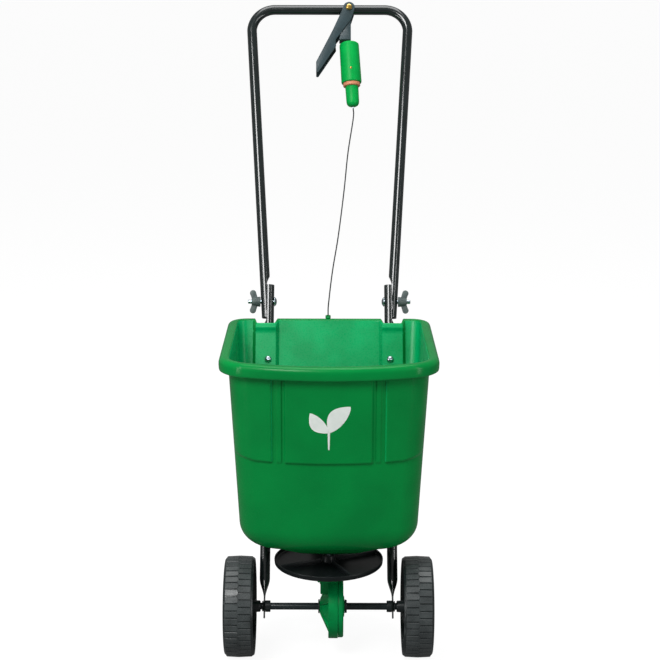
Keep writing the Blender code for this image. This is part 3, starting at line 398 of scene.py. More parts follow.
def add_node(tree: bpy.types.NodeTree, kind: str, inputs: dict | None = None,
             **settings) -> bpy.types.Node:
    """Add a node with its settings and links.

    Args:
        tree: The material's node tree.
        kind: The node's type name without its ShaderNode prefix.
        inputs: Socket names or numbers, each with a value or with the output that feeds it.
        **settings: The node's own properties.

    Returns:
        The new node.
    """
    node = tree.nodes.new("ShaderNode" + kind)
    for name, value in settings.items():
        setattr(node, name, value)
    for socket, value in (inputs or {}).items():
        if isinstance(value, bpy.types.NodeSocket):
            tree.links.new(value, node.inputs[socket])
        else:
            node.inputs[socket].default_value = value
    return node


@dataclass(frozen=True)
class Finish:
    """A material and how its surface was made. Sizes are in millimetres."""

    label: str
    colour: str
    mottle: str
    edge: str
    roughness: float
    uneven: float = 0.06
    metallic: float = 0.0
    ior: float = 1.5
    shine: float = 0.25
    coat: float = 0.0
    grain: float = 1.0
    relief: float = 0.01
    waves: float = 40.0
    wave_relief: float = 0.0
    blotch: float = 60.0
    wear: float = 0.35
    stretch: tuple[float, float, float] = (1.0, 1.0, 1.0)

    def build(self) -> bpy.types.Material:
        """Make the material.

        Returns:
            A node material: mottled colour, worn edges, uneven gloss, and two scales of relief.
        """
        made = bpy.data.materials.new(self.label)
        made.use_nodes = True
        tree = made.node_tree
        shader = tree.nodes["Principled BSDF"]
        place = add_node(tree, "TexCoord").outputs["Object"]
        turned = add_node(tree, "Mapping", {"Vector": place, "Scale": self.stretch}).outputs["Vector"]
        grain = add_node(tree, "TexNoise", {"Vector": turned, "Scale": 1000 / self.grain, "Detail": 3.0})
        waves = add_node(tree, "TexNoise", {"Vector": turned, "Scale": 1000 / self.waves, "Detail": 1.0})
        cloud = add_node(tree, "TexNoise", {"Vector": place, "Scale": 1000 / self.blotch, "Detail": 4.0})
        share = add_node(tree, "MapRange", {"Value": cloud.outputs["Fac"], "From Min": 0.35,
                                            "From Max": 0.65})
        body = add_node(
            tree, "Mix",
            {"Factor": share.outputs["Result"], 6: linear(self.colour), 7: linear(self.mottle)},
            data_type="RGBA",
        )
        edges = add_node(tree, "NewGeometry").outputs["Pointiness"]
        rubbed = add_node(
            tree, "MapRange", {"Value": edges, "From Min": 0.52, "From Max": 0.6, "To Max": self.wear},
        )
        patchy = add_node(
            tree, "Math", {0: rubbed.outputs["Result"], 1: cloud.outputs["Fac"]}, operation="MULTIPLY",
        )
        colour = add_node(
            tree, "Mix",
            {"Factor": patchy.outputs[0], 6: body.outputs[2], 7: linear(self.edge)}, data_type="RGBA",
        )
        gloss = add_node(
            tree, "MapRange",
            {
                "Value": grain.outputs["Fac"], "From Min": 0.3, "From Max": 0.7,
                "To Min": max(0.03, self.roughness - self.uneven), "To Max": self.roughness + self.uneven,
            },
        )
        swell = add_node(
            tree, "Bump",
            {"Height": waves.outputs["Fac"], "Strength": 1.0, "Distance": max(self.wave_relief, 1e-6) / 1000},
        )
        fine = add_node(
            tree, "Bump",
            {
                "Height": grain.outputs["Fac"], "Strength": 1.0, "Distance": self.relief / 1000,
                "Normal": swell.outputs["Normal"],
            },
        )
        tree.links.new(colour.outputs[2], shader.inputs["Base Color"])
        tree.links.new(gloss.outputs["Result"], shader.inputs["Roughness"])
        tree.links.new(fine.outputs["Normal"], shader.inputs["Normal"])
        shader.inputs["Metallic"].default_value = self.metallic
        shader.inputs["IOR"].default_value = self.ior
        shader.inputs["Coat Weight"].default_value = self.coat
        shader.inputs["Coat Roughness"].default_value = 0.12
        shader.inputs["Specular IOR Level"].default_value = self.shine
        return made


class Look(Enum):
    """Every finish on the spreader."""

    # Polypropylene, injection moulded in a polished tool: satin green with slow waves where it cooled.
    BIN_OUTSIDE = Finish("polypropylene_moulded_green", "008a3e", "007f39", "2fa868", 0.24, shine=0.16,
                         grain=0.9, relief=0.006, waves=38.0, wave_relief=0.05, blotch=90.0, wear=0.3)
    # The same plastic from the spark-eroded half of the tool: a fine sparkle, at 2.4 mm so that it shows. Its
    # greens, lighter and bluer than the outside's, are painted light for the lit inside of the bin.
    BIN_INSIDE = Finish("polypropylene_sparked_green_painted_lit", "00a862", "009856", "40c48c", 0.3, uneven=0.1,
                        shine=0.22, grain=2.4, relief=0.06, waves=30.0, wave_relief=0.05, blotch=45.0,
                        wear=0.3)
    # Polypropylene housing halves, moulded with a plain face: duller, a little darker green.
    GEAR_CASE = Finish("polypropylene_moulded_deep_green", "009049", "008040", "2f9460", 0.3, shine=0.15,
                       grain=1.1, relief=0.01, blotch=30.0, wear=0.35)
    # Vinyl control grip, moulded in bright green with a soft satin face.
    GRIP = Finish("vinyl_moulded_bright_green", "00a848", "009c43", "4fd07e", 0.36, shine=0.15, grain=0.8,
                  relief=0.01, blotch=22.0, wear=0.3)
    # Polyester powder coat on steel tube, gloss black-green, with the slight orange peel that powder leaves.
    TUBE_PAINT = Finish("powder_coated_tube", "101817", "172020", "65706e", 0.17, uneven=0.04, shine=0.5,
                        coat=0.6, grain=1.4, relief=0.01, waves=6.0, wave_relief=0.012, blotch=50.0,
                        wear=0.2)
    # The axle's thinner black paint: a plainer gloss that shows the drawn rod's faint length marks.
    AXLE_PAINT = Finish("enamelled_drawn_rod", "20282a", "2a3335", "7d8787", 0.26, uneven=0.07, grain=1.2,
                        relief=0.01, blotch=25.0, wear=0.3, stretch=(0.08, 1.0, 1.0))
    # Polyethylene wheels, blow moulded: charcoal with a waxy shine and faint flow marks.
    WHEEL = Finish("polyethylene_moulded_charcoal", "1b2122", "212829", "7a8080", 0.3, uneven=0.08,
                   shine=0.45, grain=1.6, relief=0.03, waves=14.0, wave_relief=0.06, blotch=26.0,
                   wear=0.45)
    # Polypropylene spreading disc, moulded near black, satin.
    DISC = Finish("polypropylene_moulded_black", "161b1c", "111617", "596161", 0.36, grain=1.0,
                  relief=0.014, blotch=30.0, wear=0.35)
    # Nylon bushes and gate guide, moulded black: matt and slightly waxy.
    NYLON = Finish("nylon_moulded_black", "2a3132", "202627", "737b7b", 0.42, grain=0.8, relief=0.014,
                   blotch=14.0)
    # Nylon wing nuts in slate, with the grey bloom of glass filling.
    WING = Finish("glass_filled_nylon_slate", "56625f", "454f4f", "9aa5a2", 0.45, uneven=0.09, grain=0.7,
                  relief=0.02, blotch=10.0)
    # Glass-filled nylon lever and bracket: slate grey-green, satin, with a fine swirl.
    LEVER = Finish("glass_filled_nylon_lever", "34454a", "2b3a3e", "808e90", 0.36, uneven=0.09, grain=0.9,
                   relief=0.016, blotch=24.0)
    # Uncoloured nylon for the gears and the gate: milky, slightly yellow.
    GEAR_NYLON = Finish("nylon_natural", "cfc9b4", "c4bda5", "efeadb", 0.42, grain=1.0, relief=0.012,
                        blotch=12.0)
    # Acetal ring between grip and knob, moulded in salmon copper.
    RING = Finish("acetal_moulded_salmon", "e39a78", "d98a66", "f6c7ae", 0.34, grain=0.6, relief=0.008,
                  blotch=8.0)
    # Mild steel hardware, bright zinc plated: bluish silver with a faint spangle.
    ZINC = Finish("zinc_plated_steel", "b9c6cc", "a3b3bd", "e8eef0", 0.24, uneven=0.1, metallic=1.0,
                  grain=0.9, relief=0.014, blotch=5.0)
    # Brass bolt and rivet, turned and left bright.
    BRASS = Finish("turned_brass", "d8b56a", "c69f4e", "f3dfa8", 0.22, uneven=0.08, metallic=1.0,
                   grain=0.8, relief=0.01, blotch=6.0)
    # PVC cable sheath, extruded: even black with a soft shine.
    SHEATH = Finish("pvc_extruded_black", "1c2120", "252a29", "5d6363", 0.38, grain=0.7, relief=0.01,
                    blotch=18.0)
    # Natural rubber stand foot, moulded: matt, slightly grey at the edges.
    RUBBER = Finish("rubber_moulded_black", "26282a", "303234", "6a6c6e", 0.72, grain=0.8, relief=0.05,
                    blotch=12.0)
    # White vinyl decal, printed and matt.
    DECAL = Finish("vinyl_printed_white", "eef4ef", "e4ece6", "ffffff", 0.45, grain=0.8, relief=0.004,
                   blotch=20.0)

    def material(self) -> bpy.types.Material:
        """This finish's material, made once."""
        return bpy.data.materials.get(self.value.label) or self.value.build()


class Assembly:
    """What every sub-assembly does with a finished piece."""

    def keep(self, name: str, piece: bpy.types.Object, look: Look, body: str, *nodes: str,
             sharp: float = 40.0) -> bpy.types.Object:
        """Name and dress a piece, hang it on its body, and hide the nodes that it stands for.

        Args:
            name: The piece's name.
            piece: The finished mesh.
            look: Its finish.
            body: The body it rides on.
            *nodes: The nodes that it replaces.
            sharp: Edges past this angle in degrees stay sharp.

        Returns:
            The same piece.
        """
        piece.name = name
        piece.data.name = name
        Bench.pick(piece)
        bpy.ops.object.shade_smooth_by_angle(angle=math.radians(sharp))
        if not piece.data.materials:
            piece.data.materials.append(look.material())
        piece.data.materials[0] = look.material()
        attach(piece, body)
        if nodes:
            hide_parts(*nodes)
        LOG.info("%s on %s, %d faces", name, body, len(piece.data.polygons))
        return piece

    def fitting(self, node: str, body: str, profile: Sequence[Point], look: Look, matrix: Matrix,
                sides: int = ROUND, radius: float = 0.0004, name: str = "") -> bpy.types.Object:
        """A turned piece that stands for one node."""
        piece = Bench.place(Bench.turned(profile, radius, sides), matrix)
        return self.keep(name or node + "_detail", piece, look, body, node)


@dataclass
class Hopper(Assembly):
    """The bin: one moulded wall with raised front panels, tube channels and a rolled rim."""

    half_low: float = 0.1585
    half_slope: float = 0.0525
    half_from: float = 0.271
    front_low: float = -0.108
    front_slope: float = 0.109
    front_from: float = 0.27
    top: float = 0.578
    rim_at: float = 0.5735
    wall: float = 0.003
    bow: float = 0.42
    front_corner: float = 0.052
    back_corner: float = 0.02
    body_half: float = 0.158
    panel_out: float = 0.0045
    ledge: float = 0.3975
    body_from: float = 0.27
    underside: float = 0.2235
    floor: float = 0.209
    notch_in: float = 0.098
    notch_out: float = 0.14
    notch_rim: float = 0.15
    film: float = 0.0002
    screw_x: float = 0.1143
    screw_at: float = 0.456
    rim_dip: float = 0.0026

    def half_width(self, z: float) -> float:
        """Half the bin's outer width at this height."""
        return self.half_low + self.half_slope * (z - self.half_from)

    def front_face(self, z: float) -> float:
        """Where the front's outer surface lies on the middle line at this height."""
        return self.front_low - self.front_slope * (z - self.front_from)

    def relief(self, x: float, z: float, along: float) -> float:
        """How far the front stands out at this place, from panels and channel rib.

        Args:
            x: Distance from the middle.
            z: Height.
            along: 0 on the front face, rising to 1 at the end of the corner.
        """
        edge = self.ledge + 0.01 * along + 0.004 * ease(abs(x), 0.1, 0.16)
        lift = ease(z, edge, edge + 0.0055)
        centre = 1.0 - ease(x, 0.0728, 0.0776)
        corner = ease(x, 0.0952, 0.1) * (1.0 - ease(along, 0.35, 1.0))
        rib = 0.35 * (ease(x, 0.08, 0.0818) - ease(x, 0.0886, 0.0904))
        return self.panel_out * lift * (centre + corner + rib)

    def outline(self, z: float, skin: float, grow: float, pinch: Sequence[float], height: float) -> list:
        """One level seen from above, as (x, y, notch share).

        Args:
            z: The height that the body's slopes are worked out for.
            skin: How far inside the outer surface the level lies.
            grow: How far the rim stands out.
            pinch: How far the sides, front and back are drawn in.
            height: The height for the panels' relief.
        """
        narrow, front_in, back_in = pinch
        width = self.half_width(z) - skin - narrow
        share = min(1.0, width / self.body_half)
        front = self.front_face(z) + skin + front_in
        bow = self.bow + grow
        reach = width + grow
        corner = (self.front_corner - skin) * share + grow
        turn = math.asin((reach - corner) / (bow - corner))
        middle = front - grow + bow
        begin = bow * math.sin(turn)
        right = []
        xs = spread(0.0, 0.07, 12) + spread(0.0712, 0.1032, 33) + spread(0.1045, 0.1085, 4)
        for x in xs:
            at = x * min(1.0, begin / 0.1085) if x < 0.1085 else begin
            y = middle - math.sqrt(bow * bow - at * at)
            right.append((at, y - self.relief(x, height, 0.0), 0.0))
        centre = middle - (bow - corner) * math.cos(turn)
        for i in range(1, 17):
            angle = turn + (math.pi / 2 - turn) * i / 16
            y = centre - corner * math.cos(angle) - self.relief(0.12, height, i / 16)
            right.append((reach - corner + corner * math.sin(angle), y, 0.0))
        back_y = tube_y(z) + 0.004 - skin - back_in + grow
        radius = (self.back_corner - skin) * share + grow
        sides_from = right[-1][1]
        for y in spread(sides_from, back_y - radius, 7)[1:-1]:
            right.append((reach, y, 0.0))
        for i in range(10):
            angle = math.pi / 2 * i / 9
            x = reach - radius + radius * math.cos(angle)
            right.append((x, back_y - radius + radius * math.sin(angle), 0.0))
        outer = min(self.notch_out, width + (skin - 0.0262) * share) - 0.0022 * share + skin * share
        inner = self.notch_in * share + 0.0022 * share - skin * share
        deep = 0.0045 * ease(z, 0.56, 0.569)
        floor = min(tube_y(z) - 0.0114 - skin - deep + grow * self.notch_rim, back_y)
        soft = 0.003 * share
        start = min(reach - radius, outer + soft + 0.004)
        for x in spread(start, outer + soft, 4)[1:] + spread(outer + soft, inner - soft, 34)[1:]:
            notch = 1.0 - ease(x, outer - soft, outer + soft) - (1.0 - ease(x, inner - soft,
                                                                            inner + soft))
            right.append((x, back_y + (floor - back_y) * notch, notch))
        for x in spread(inner - soft, 0.0, 12)[1:]:
            right.append((x, back_y, 0.0))
        return right + [(-x, y, notch) for x, y, notch in reversed(right[1:-1])]

    def level(self, z: float, skin: float = 0.0, grow: float = 0.0, drop: float = 0.0, dip: float = 0.0,
              pinch: Sequence[float] = (0.0, 0.0, 0.0), plain: bool = False) -> Level:
        """One ring of the shell; drop lowers it away from the tubes and dip lowers it in front of them."""
        made = []
        for x, y, notch in self.outline(z, skin, grow, pinch, 0.0 if plain else z):
            fall = drop * (1.0 - 0.9 * notch) if drop > 0.0 else drop
            made.append(Vector((x, y, z - fall - dip * notch)))
        return made

    def bottom(self, skin: float) -> list[Level]:
        """The rounded bottom and the sloping underside, from the floor up."""
        made = [self.level(self.floor + skin, skin, pinch=(0.093, 0.056, 0.016))]
        for t in (0.35, 0.7, 0.93):
            z = self.floor + (self.underside - self.floor) * t
            pinch = (0.093 - 0.05 * t, 0.056 - 0.02 * t, 0.016)
            made.append(self.level(z + skin, skin * 1.1, pinch=pinch))
        for angle in spread(math.radians(84), 0.0, 14):
            fall = 1.0 - math.cos(angle)
            z = self.body_from - (self.body_from - self.underside) * math.sin(angle)
            back_in = 0.018 * min(1.0, 1.6 * math.sin(angle)) - 0.002 * math.sin(angle)
            pinch = (0.043 * fall / 0.895, 0.036 * fall / 0.895, back_in)
            made.append(self.level(z + skin * math.sin(angle), skin * 1.1, pinch=pinch))
        return made

    def rim(self) -> list[Level]:
        """The rolled rim: out from under the flange, down the skirt, round its lip and over the top."""
        profile = [(0.0012, 0.004), (0.006, 0.003), (0.0105, 0.0034), (0.012, 0.0055), (0.0124, 0.011),
                   (0.0126, 0.0205), (0.013, 0.0222), (0.014, 0.023), (0.015, 0.0224), (0.0156, 0.0205),
                   (0.0159, 0.0165), (0.016, 0.0125)]
        for angle in spread(8, 90, 9):
            turn = math.radians(angle)
            profile.append((0.0066 + 0.0094 * math.cos(turn), 0.0105 - 0.0105 * math.sin(turn)))
        profile += [(0.004, 0.0), (0.0014, 0.0)]
        above = self.top - self.rim_at
        made = []
        for grow, below in profile:
            flat = grow > 0.005 or below == 0.0
            made.append(self.level(self.rim_at, 0.0, grow, drop=below - above, dip=self.rim_dip,
                                   plain=flat))
        for skin, below in ((0.0008, 0.0006), (0.002, 0.0018), (0.0028, 0.004)):
            made.append(self.level(self.rim_at, skin, drop=below - above, dip=self.rim_dip, plain=True))
        return made

    def mark(self) -> bpy.types.Object:
        """A plain sprout, two leaves on a stem, as a thin decal on the centre panel."""
        leaves = []
        shapes = ((0.0, 0.459, 0.06, 52.0, 0.03), (0.0, 0.459, 0.048, 132.0, 0.024),
                  (0.0, 0.428, 0.033, 90.0, 0.0042))
        for x0, z0, length, angle, width in shapes:
            Bench.clear()
            bpy.ops.mesh.primitive_grid_add(x_subdivisions=20, y_subdivisions=6, size=1.0)
            leaf = bpy.context.object
            turn = math.radians(angle)
            for vert in leaf.data.vertices:
                t = vert.co.x + 0.5
                swell = math.sin(math.pi * t) ** 0.8 if width > 0.01 else 0.6 + 0.4 * t
                off = vert.co.y * width * swell + 0.1 * length * math.sin(math.pi * t) * (width > 0.01)
                x = x0 + length * t * math.cos(turn) - off * math.sin(turn)
                z = z0 + length * t * math.sin(turn) + off * math.cos(turn)
                face = self.front_face(z) - self.panel_out - self.film
                y = face + self.bow - math.sqrt(self.bow ** 2 - x * x)
                vert.co = (x, y, z)
            leaves.append(Bench.tidy(leaf))
        decal = Bench.together(leaves)
        Bench.pick(decal)
        change = decal.modifiers.new("film", "SOLIDIFY")
        change.thickness = self.film
        change.offset = 0.0
        bpy.ops.object.modifier_apply(modifier=change.name)
        return Bench.place(decal, ORIGIN)

    def build(self) -> None:
        """Make the bin, its mark, and the screws that hold it to the tubes."""
        body = [self.level(z) for z in spread(self.body_from, self.ledge - 0.004, 8)[1:]]
        body += [self.level(z) for z in spread(self.ledge - 0.001, self.ledge + 0.02, 16)]
        body += [self.level(z) for z in spread(self.ledge + 0.035, 0.556, 8)]
        body += [self.level(z) for z in (0.56, 0.564, 0.567, 0.5705)]
        outside = [*self.bottom(0.0), *body, *self.rim()]
        skin = self.wall
        inside = [self.level(z, skin) for z in (0.57, 0.567, 0.564, 0.56, 0.556)]
        inside += [self.level(z, skin) for z in spread(0.548, self.ledge + 0.035, 8)]
        inside += [self.level(z, skin) for z in spread(self.ledge + 0.02, self.ledge - 0.001, 10)]
        inside += [self.level(z, skin) for z in spread(self.ledge - 0.004, 0.276, 8)]
        inside += list(reversed(self.bottom(skin)))
        piece = Bench.loft([*outside, *inside])
        port = Bench.block((0.03, 0.018, 0.03), (0.0, 0.029, self.floor), 0.002)
        Bench.combine(piece, port)
        Bench.combine(piece, Bench.bore(0.0052, 0.03, shift(0.0, 0.0, self.floor)))
        Bench.place(piece, ORIGIN)
        self.keep("hopper_detail", piece, Look.BIN_OUTSIDE, "frame", "hopper", sharp=50.0)
        # Faces turned into the bin, and upward faces low in it, take the lighter inside greens: painted light
        # where light falls into the bin.
        piece.data.materials.append(Look.BIN_INSIDE.material())
        for face in piece.data.polygons:
            x, y, z = face.center
            y -= AXLE_Y
            out = Vector((face.normal.x, face.normal.y, 0.0))
            inward = out.x * x + out.y * (y + 0.02) < 0.0
            if z < self.top - 0.002 and (inward or (face.normal.z > 0.6 and z < 0.5)):
                face.material_index = 1
        self.keep("sprout_mark", self.mark(), Look.DECAL, "frame")
        for name, side in SIDES:
            seat = PLANE @ shift(side * self.screw_x, -0.0141, self.screw_at) @ TO_Y
            head = [(0.0, -0.0042), (0.0022, -0.0041), (0.0045, -0.0032), (0.0062, -0.0012), (0.0064, 0.0),
                     (0.0024, 0.0), (0.0024, 0.03), (0.0, 0.03)]
            screw = Bench.turned(head, 0.0003, 48)
            for turn in (0, 90):
                slot = Bench.block((0.006, 0.0011, 0.003), (0.0, 0.0, -0.0042), 0.0002)
                Bench.combine(screw, Bench.place(slot, spin(turn + 20, "Z")))
            self.keep(f"hopper_screw_{name}_detail", Bench.place(screw, seat), Look.ZINC, "frame",
                      "hopper_screw_" + name)
            nut_at = PLANE @ shift(side * self.screw_x, TUBE_R + FIT, self.screw_at) @ TO_Y
            self.fitting("hopper_nut_" + name, "frame", [(0.003, 0.0), (0.0052, 0.0), (0.0052, 0.0042),
                                                         (0.003, 0.0042)], Look.ZINC, nut_at, 6)


@dataclass
class LowerFrame(Assembly):
    """The leaning tubes, the cross brace, the stand with its foot, and the gearbox stay."""

    ear_low: float = -0.022
    ear_thick: float = 0.003
    ear_half: float = 0.015
    brace_at: float = 0.225
    brace_x: float = 0.1157
    stand_x: float = 0.0135

    def tube(self, side: int) -> bpy.types.Object:
        """A lower tube with its flattened ear, and its flat where the handle lies."""
        stations = spread(self.ear_low, 0.0, 12) + spread(0.004, 0.06, 18) + spread(0.08, 0.5, 12)
        stations += spread(0.515, 0.545, 9) + spread(0.56, LEG_TOP, 5)
        path = [Vector((side * leg_x(z), 0.0, z)) for z in stations]

        def squeeze(at: Vector, middle: Vector) -> Vector:
            """Flatten the ear at the axle and the face under the handle."""
            z = middle.z
            amount = 1.0 - ease(z, 0.015, 0.05)
            thin = 1.0 + (self.ear_thick / (2 * TUBE_R) - 1.0) * amount
            half = TUBE_R + (self.ear_half - TUBE_R) * amount
            if z < -0.007:
                half = max(0.0006, math.sqrt(max(0.0, self.ear_half ** 2 - (z + 0.007) ** 2)))
            x = middle.x + (at.x - middle.x) * thin
            y = at.y / TUBE_R * half
            flat = FOLD_FLAT_X - FIT + 0.012 * (1.0 - ease(z, 0.518, 0.534))
            return Vector((side * min(side * x, flat), y, at.z))

        piece = Bench.pipe(path, TUBE_R, 40, squeeze, side=Vector((0.0, 1.0, 0.0)))
        Bench.combine(piece, Bench.bore(0.0083, 0.03, shift(side * LEG_X_LOW, 0, 0) @ TO_X))
        inner = Bench.bore(TUBE_R - 0.0013, 0.03, shift(side * leg_x(LEG_TOP), 0, LEG_TOP))
        keep_wall = Bench.block((0.02, 0.04, 0.08), (side * (FOLD_FLAT_X + 0.0084), 0, LEG_TOP), 0.0002)
        Bench.combine(inner, keep_wall)
        Bench.combine(piece, inner)
        return Bench.place(piece, PLANE)

    def build(self) -> None:
        """Make the tubes and what is bolted behind them."""
        for name, side in SIDES:
            self.keep(f"frame_tube_{name}_detail", self.tube(side), Look.TUBE_PAINT, "frame",
                      "frame_tube_" + name)
        back = TUBE_R + FIT
        edge = fillet([(-0.125, -0.012), (0.125, -0.012), (0.125, 0.012), (-0.125, 0.012)], 0.006, 5)
        brace = Bench.plate(edge, 0.003, 0.0006)
        stiff = Bench.block((0.2, 0.005, 0.0022), (0.0, 0.0, 0.0018), 0.001)
        brace = Bench.combine(brace, stiff, "UNION")
        Bench.place(brace, PLANE @ shift(0.0, back + 0.0015, self.brace_at) @ TO_Y)
        self.keep("cross_brace_detail", brace, Look.TUBE_PAINT, "frame", "cross_brace")
        head = [(0.0, 0.0035), (0.003, 0.0033), (0.0045, 0.0024), (0.005, 0.0), (0.0024, 0.0),
                (0.0024, -0.016), (0.0, -0.016)]
        for name, side in SIDES:
            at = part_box("brace_bolt_" + name)
            x = (at[0][0] + at[1][0]) / 2
            seat = PLANE @ shift(x, back + 0.0033, self.brace_at) @ TO_Y
            self.fitting("brace_bolt_" + name, "frame", head, Look.ZINC, seat, 40, 0.0003)
        self.stand(back)
        stay = fillet([(0.0203, -0.0055), (0.129, -0.0055), (0.129, 0.0055), (0.0203, 0.0055)], 0.0015, 3)
        plate = Bench.plate(stay, 0.003, 0.0005)
        low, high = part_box("gearbox_stay")
        centre = [(a + b) / 2 for a, b in zip(low, high)]
        turn = shift(centre[0], centre[1], centre[2]) @ spin(90, "Z")
        Bench.place(plate, turn @ shift(-0.07465, 0.0, 0.0))
        self.keep("gearbox_stay_detail", plate, Look.TUBE_PAINT, "frame", "gearbox_stay")

    def stand(self, back: float) -> None:
        """The rear leg, bolted through its plate to the brace, and its rubber foot."""
        leg_r = 0.0055
        top_z = AXLE_Z + self.brace_at * math.cos(LEAN)
        top_y = self.brace_at * math.sin(LEAN) + (back + 0.0033 + leg_r) / math.cos(LEAN)
        x = self.stand_x
        leg = [Vector((x, top_y, top_z - 0.0005)), Vector((x, top_y + 0.001, top_z - 0.03)),
               Vector((x, 0.125, 0.21)), Vector((x, 0.144, 0.11)), Vector((x, 0.16, 0.012))]
        route = curve_through(leg[:3], 6)[:-1] + curve_through(leg[2:], 4)
        pipe = Bench.place(Bench.pipe(route, leg_r, 28, side=Vector((1.0, 0.0, 0.0))), ORIGIN)
        plate = Bench.plate(fillet([(-0.015, -0.011), (0.015, -0.011), (0.015, 0.011), (-0.015, 0.011)],
                                   0.004), 0.003)
        Bench.place(plate, PLANE @ shift(x, back + 0.0033 + 0.0015, self.brace_at) @ TO_Y)
        self.keep("rear_stand_detail", Bench.together([pipe, plate]), Look.TUBE_PAINT, "frame",
                  "rear_stand")
        shoe = [(0.0, 0.0), (0.0096, 0.0), (0.011, 0.0014), (0.0108, 0.005), (0.0094, 0.006),
                (0.0092, 0.02), (0.0085, 0.026), (leg_r + FIT, 0.026), (leg_r + FIT, 0.01), (0.0, 0.01)]
        tilt = math.radians(9.27)
        foot = Bench.turned(shoe, 0.0005, 48)
        for vert in foot.data.vertices:
            if vert.co.z < 0.0016:
                vert.co.z = (vert.co.z - math.sin(tilt) * vert.co.y) / math.cos(tilt)
        Bench.place(foot, ORIGIN @ shift(x, 0.16196, 0.0) @ Matrix.Rotation(tilt, 4, "X"))
        for vert in foot.data.vertices:
            vert.co.z = max(0.0, vert.co.z)
        self.keep("stand_foot_detail", foot, Look.RUBBER, "frame", "stand_foot")


@dataclass
class Wheels(Assembly):
    """Two moulded wheels with staggered lugs, and the axle with its pins, washers and bushes."""

    inner: float = 0.1345
    width: float = 0.054
    radius: float = 0.0915
    lug_height: float = 0.0022
    lugs: int = 44
    hub: float = 0.0105

    def lug(self) -> bpy.types.Object:
        """One lug of one row, at the top of the wheel, its pointed end past the middle."""
        half = math.pi * self.radius / self.lugs - 0.0011
        middle = self.width / 2
        shape = [(0.004, -half), (middle - 0.0012, -half), (middle + 0.001, -half * 0.35),
                 (middle + 0.001, half * 0.35), (middle - 0.0012, half), (0.004, half)]
        base = self.radius - self.lug_height
        shrink = 0.0005
        levels = []
        for height, inset in ((-0.0012, 0.0), (self.lug_height - 0.0006, 0.0), (self.lug_height, shrink)):
            ring = []
            for x, along in shape:
                x += inset * (1.6 if x < middle / 2 else -1.0)
                along -= math.copysign(inset, along) if along else 0.0
                drop = 0.003 if x < 0.006 and height > 0.0 else 0.0
                ring.append(Vector((x, along,
                                    math.sqrt((base + height) ** 2 - along ** 2) - drop * 0.35)))
            levels.append(ring)
        return Bench.loft(levels)

    def wheel(self, side: int) -> bpy.types.Object:
        """One wheel on its own axis along Z, then laid along X."""
        w = self.width
        base = self.radius - self.lug_height
        bore = AXLE_R + RUNNING_FIT
        profile = [(bore, -0.0105), (self.hub - 0.0008, -0.0105), (self.hub, -0.0085),
                   (self.hub + 0.0004, 0.018), (0.015, 0.0265), (0.056, 0.0365), (0.07, 0.0365),
                   (0.0835, 0.032), (0.0848, 0.028), (0.0858, 0.0015), (0.0868, 0.0), (base - 0.0022, 0.0),
                    (base, 0.0034), (base, w - 0.004), (base - 0.004, w - 0.0004), (0.082, w),
                   (0.0806, w - 0.0012), (0.079, 0.044), (0.074, 0.0412), (0.03, 0.0388), (0.024, 0.04),
                   (0.022, 0.0425), (self.hub + 0.003, 0.044), (bore, 0.044)]
        body = Bench.place(Bench.turned(profile, 0.0014, 96), TO_X)
        pieces = [body]
        first = self.lug()
        flip = shift(w, 0.0, 0.0) @ Matrix.Scale(-1.0, 4, (1.0, 0.0, 0.0))
        second = Bench.tidy(Bench.copy(first, flip))
        step = 2 * math.pi / self.lugs
        for i in range(self.lugs):
            pieces.append(Bench.copy(first, Matrix.Rotation(i * step, 4, "X")))
            pieces.append(Bench.copy(second, Matrix.Rotation((i + 0.5) * step, 4, "X")))
        bpy.data.objects.remove(first)
        bpy.data.objects.remove(second)
        for i in range(8):
            rib = Bench.block((0.006, 0.0024, 0.057), (0.0412, 0.0, 0.051), 0.0007)
            pieces.append(Bench.place(rib, spin(45 * i, "X")))
        made = Bench.together(pieces)
        if side < 0:
            Bench.place(made, Matrix.Rotation(math.pi, 4, "Z"))
        return Bench.place(made, AXLE @ shift(side * self.inner, 0.0, 0.0))

    def build(self) -> None:
        """Make both wheels and everything on the axle."""
        self.keep("drive_wheel_detail", self.wheel(-1), Look.WHEEL, "axle", "drive_wheel", sharp=32.0)
        self.keep("free_wheel_detail", self.wheel(1), Look.WHEEL, "free_wheel", "free_wheel", sharp=32.0)
        half = 0.186
        rod = [(0.0, -half), (AXLE_R, -half), (AXLE_R, half), (0.0, half)]
        self.fitting("axle_rod", "axle", rod, Look.AXLE_PAINT, AXLE @ TO_X, 48, 0.0008)
        pin = [(0.0, -0.011), (0.0018, -0.011), (0.0018, 0.011), (0.0, 0.011)]
        washer = [(AXLE_R + FIT, 0.0), (0.0115, 0.0), (0.0115, 0.001), (AXLE_R + FIT, 0.001)]
        bush = [(AXLE_R + RUNNING_FIT, -0.0092), (0.01, -0.0092), (0.0105, -0.0085), (0.0105, 0.0),
                (0.0079, 0.0), (0.0079, 0.0036), (0.0095, 0.0036), (0.0095, 0.0058),
                (AXLE_R + RUNNING_FIT, 0.0058)]
        for name, kind, side in (("left", "drive", -1), ("right", "free", 1)):
            turn = TO_X if side > 0 else TO_MINUS_X
            pin_at = AXLE @ shift(side * (self.inner + 0.0475), 0.0, 0.0)
            self.fitting("wheel_pin_" + name, "axle", pin, Look.ZINC, pin_at, 24)
            washer_at = AXLE @ shift(side * (self.inner + 0.0443), 0.0, 0.0) @ turn
            self.fitting(kind + "_washer", "axle", washer, Look.ZINC, washer_at, 48, 0.0002)
            bush_at = AXLE @ shift(side * (LEG_X_LOW - 0.0018), 0.0, 0.0) @ turn
            self.fitting("axle_bush_" + name, "frame", bush, Look.NYLON, bush_at, 48)


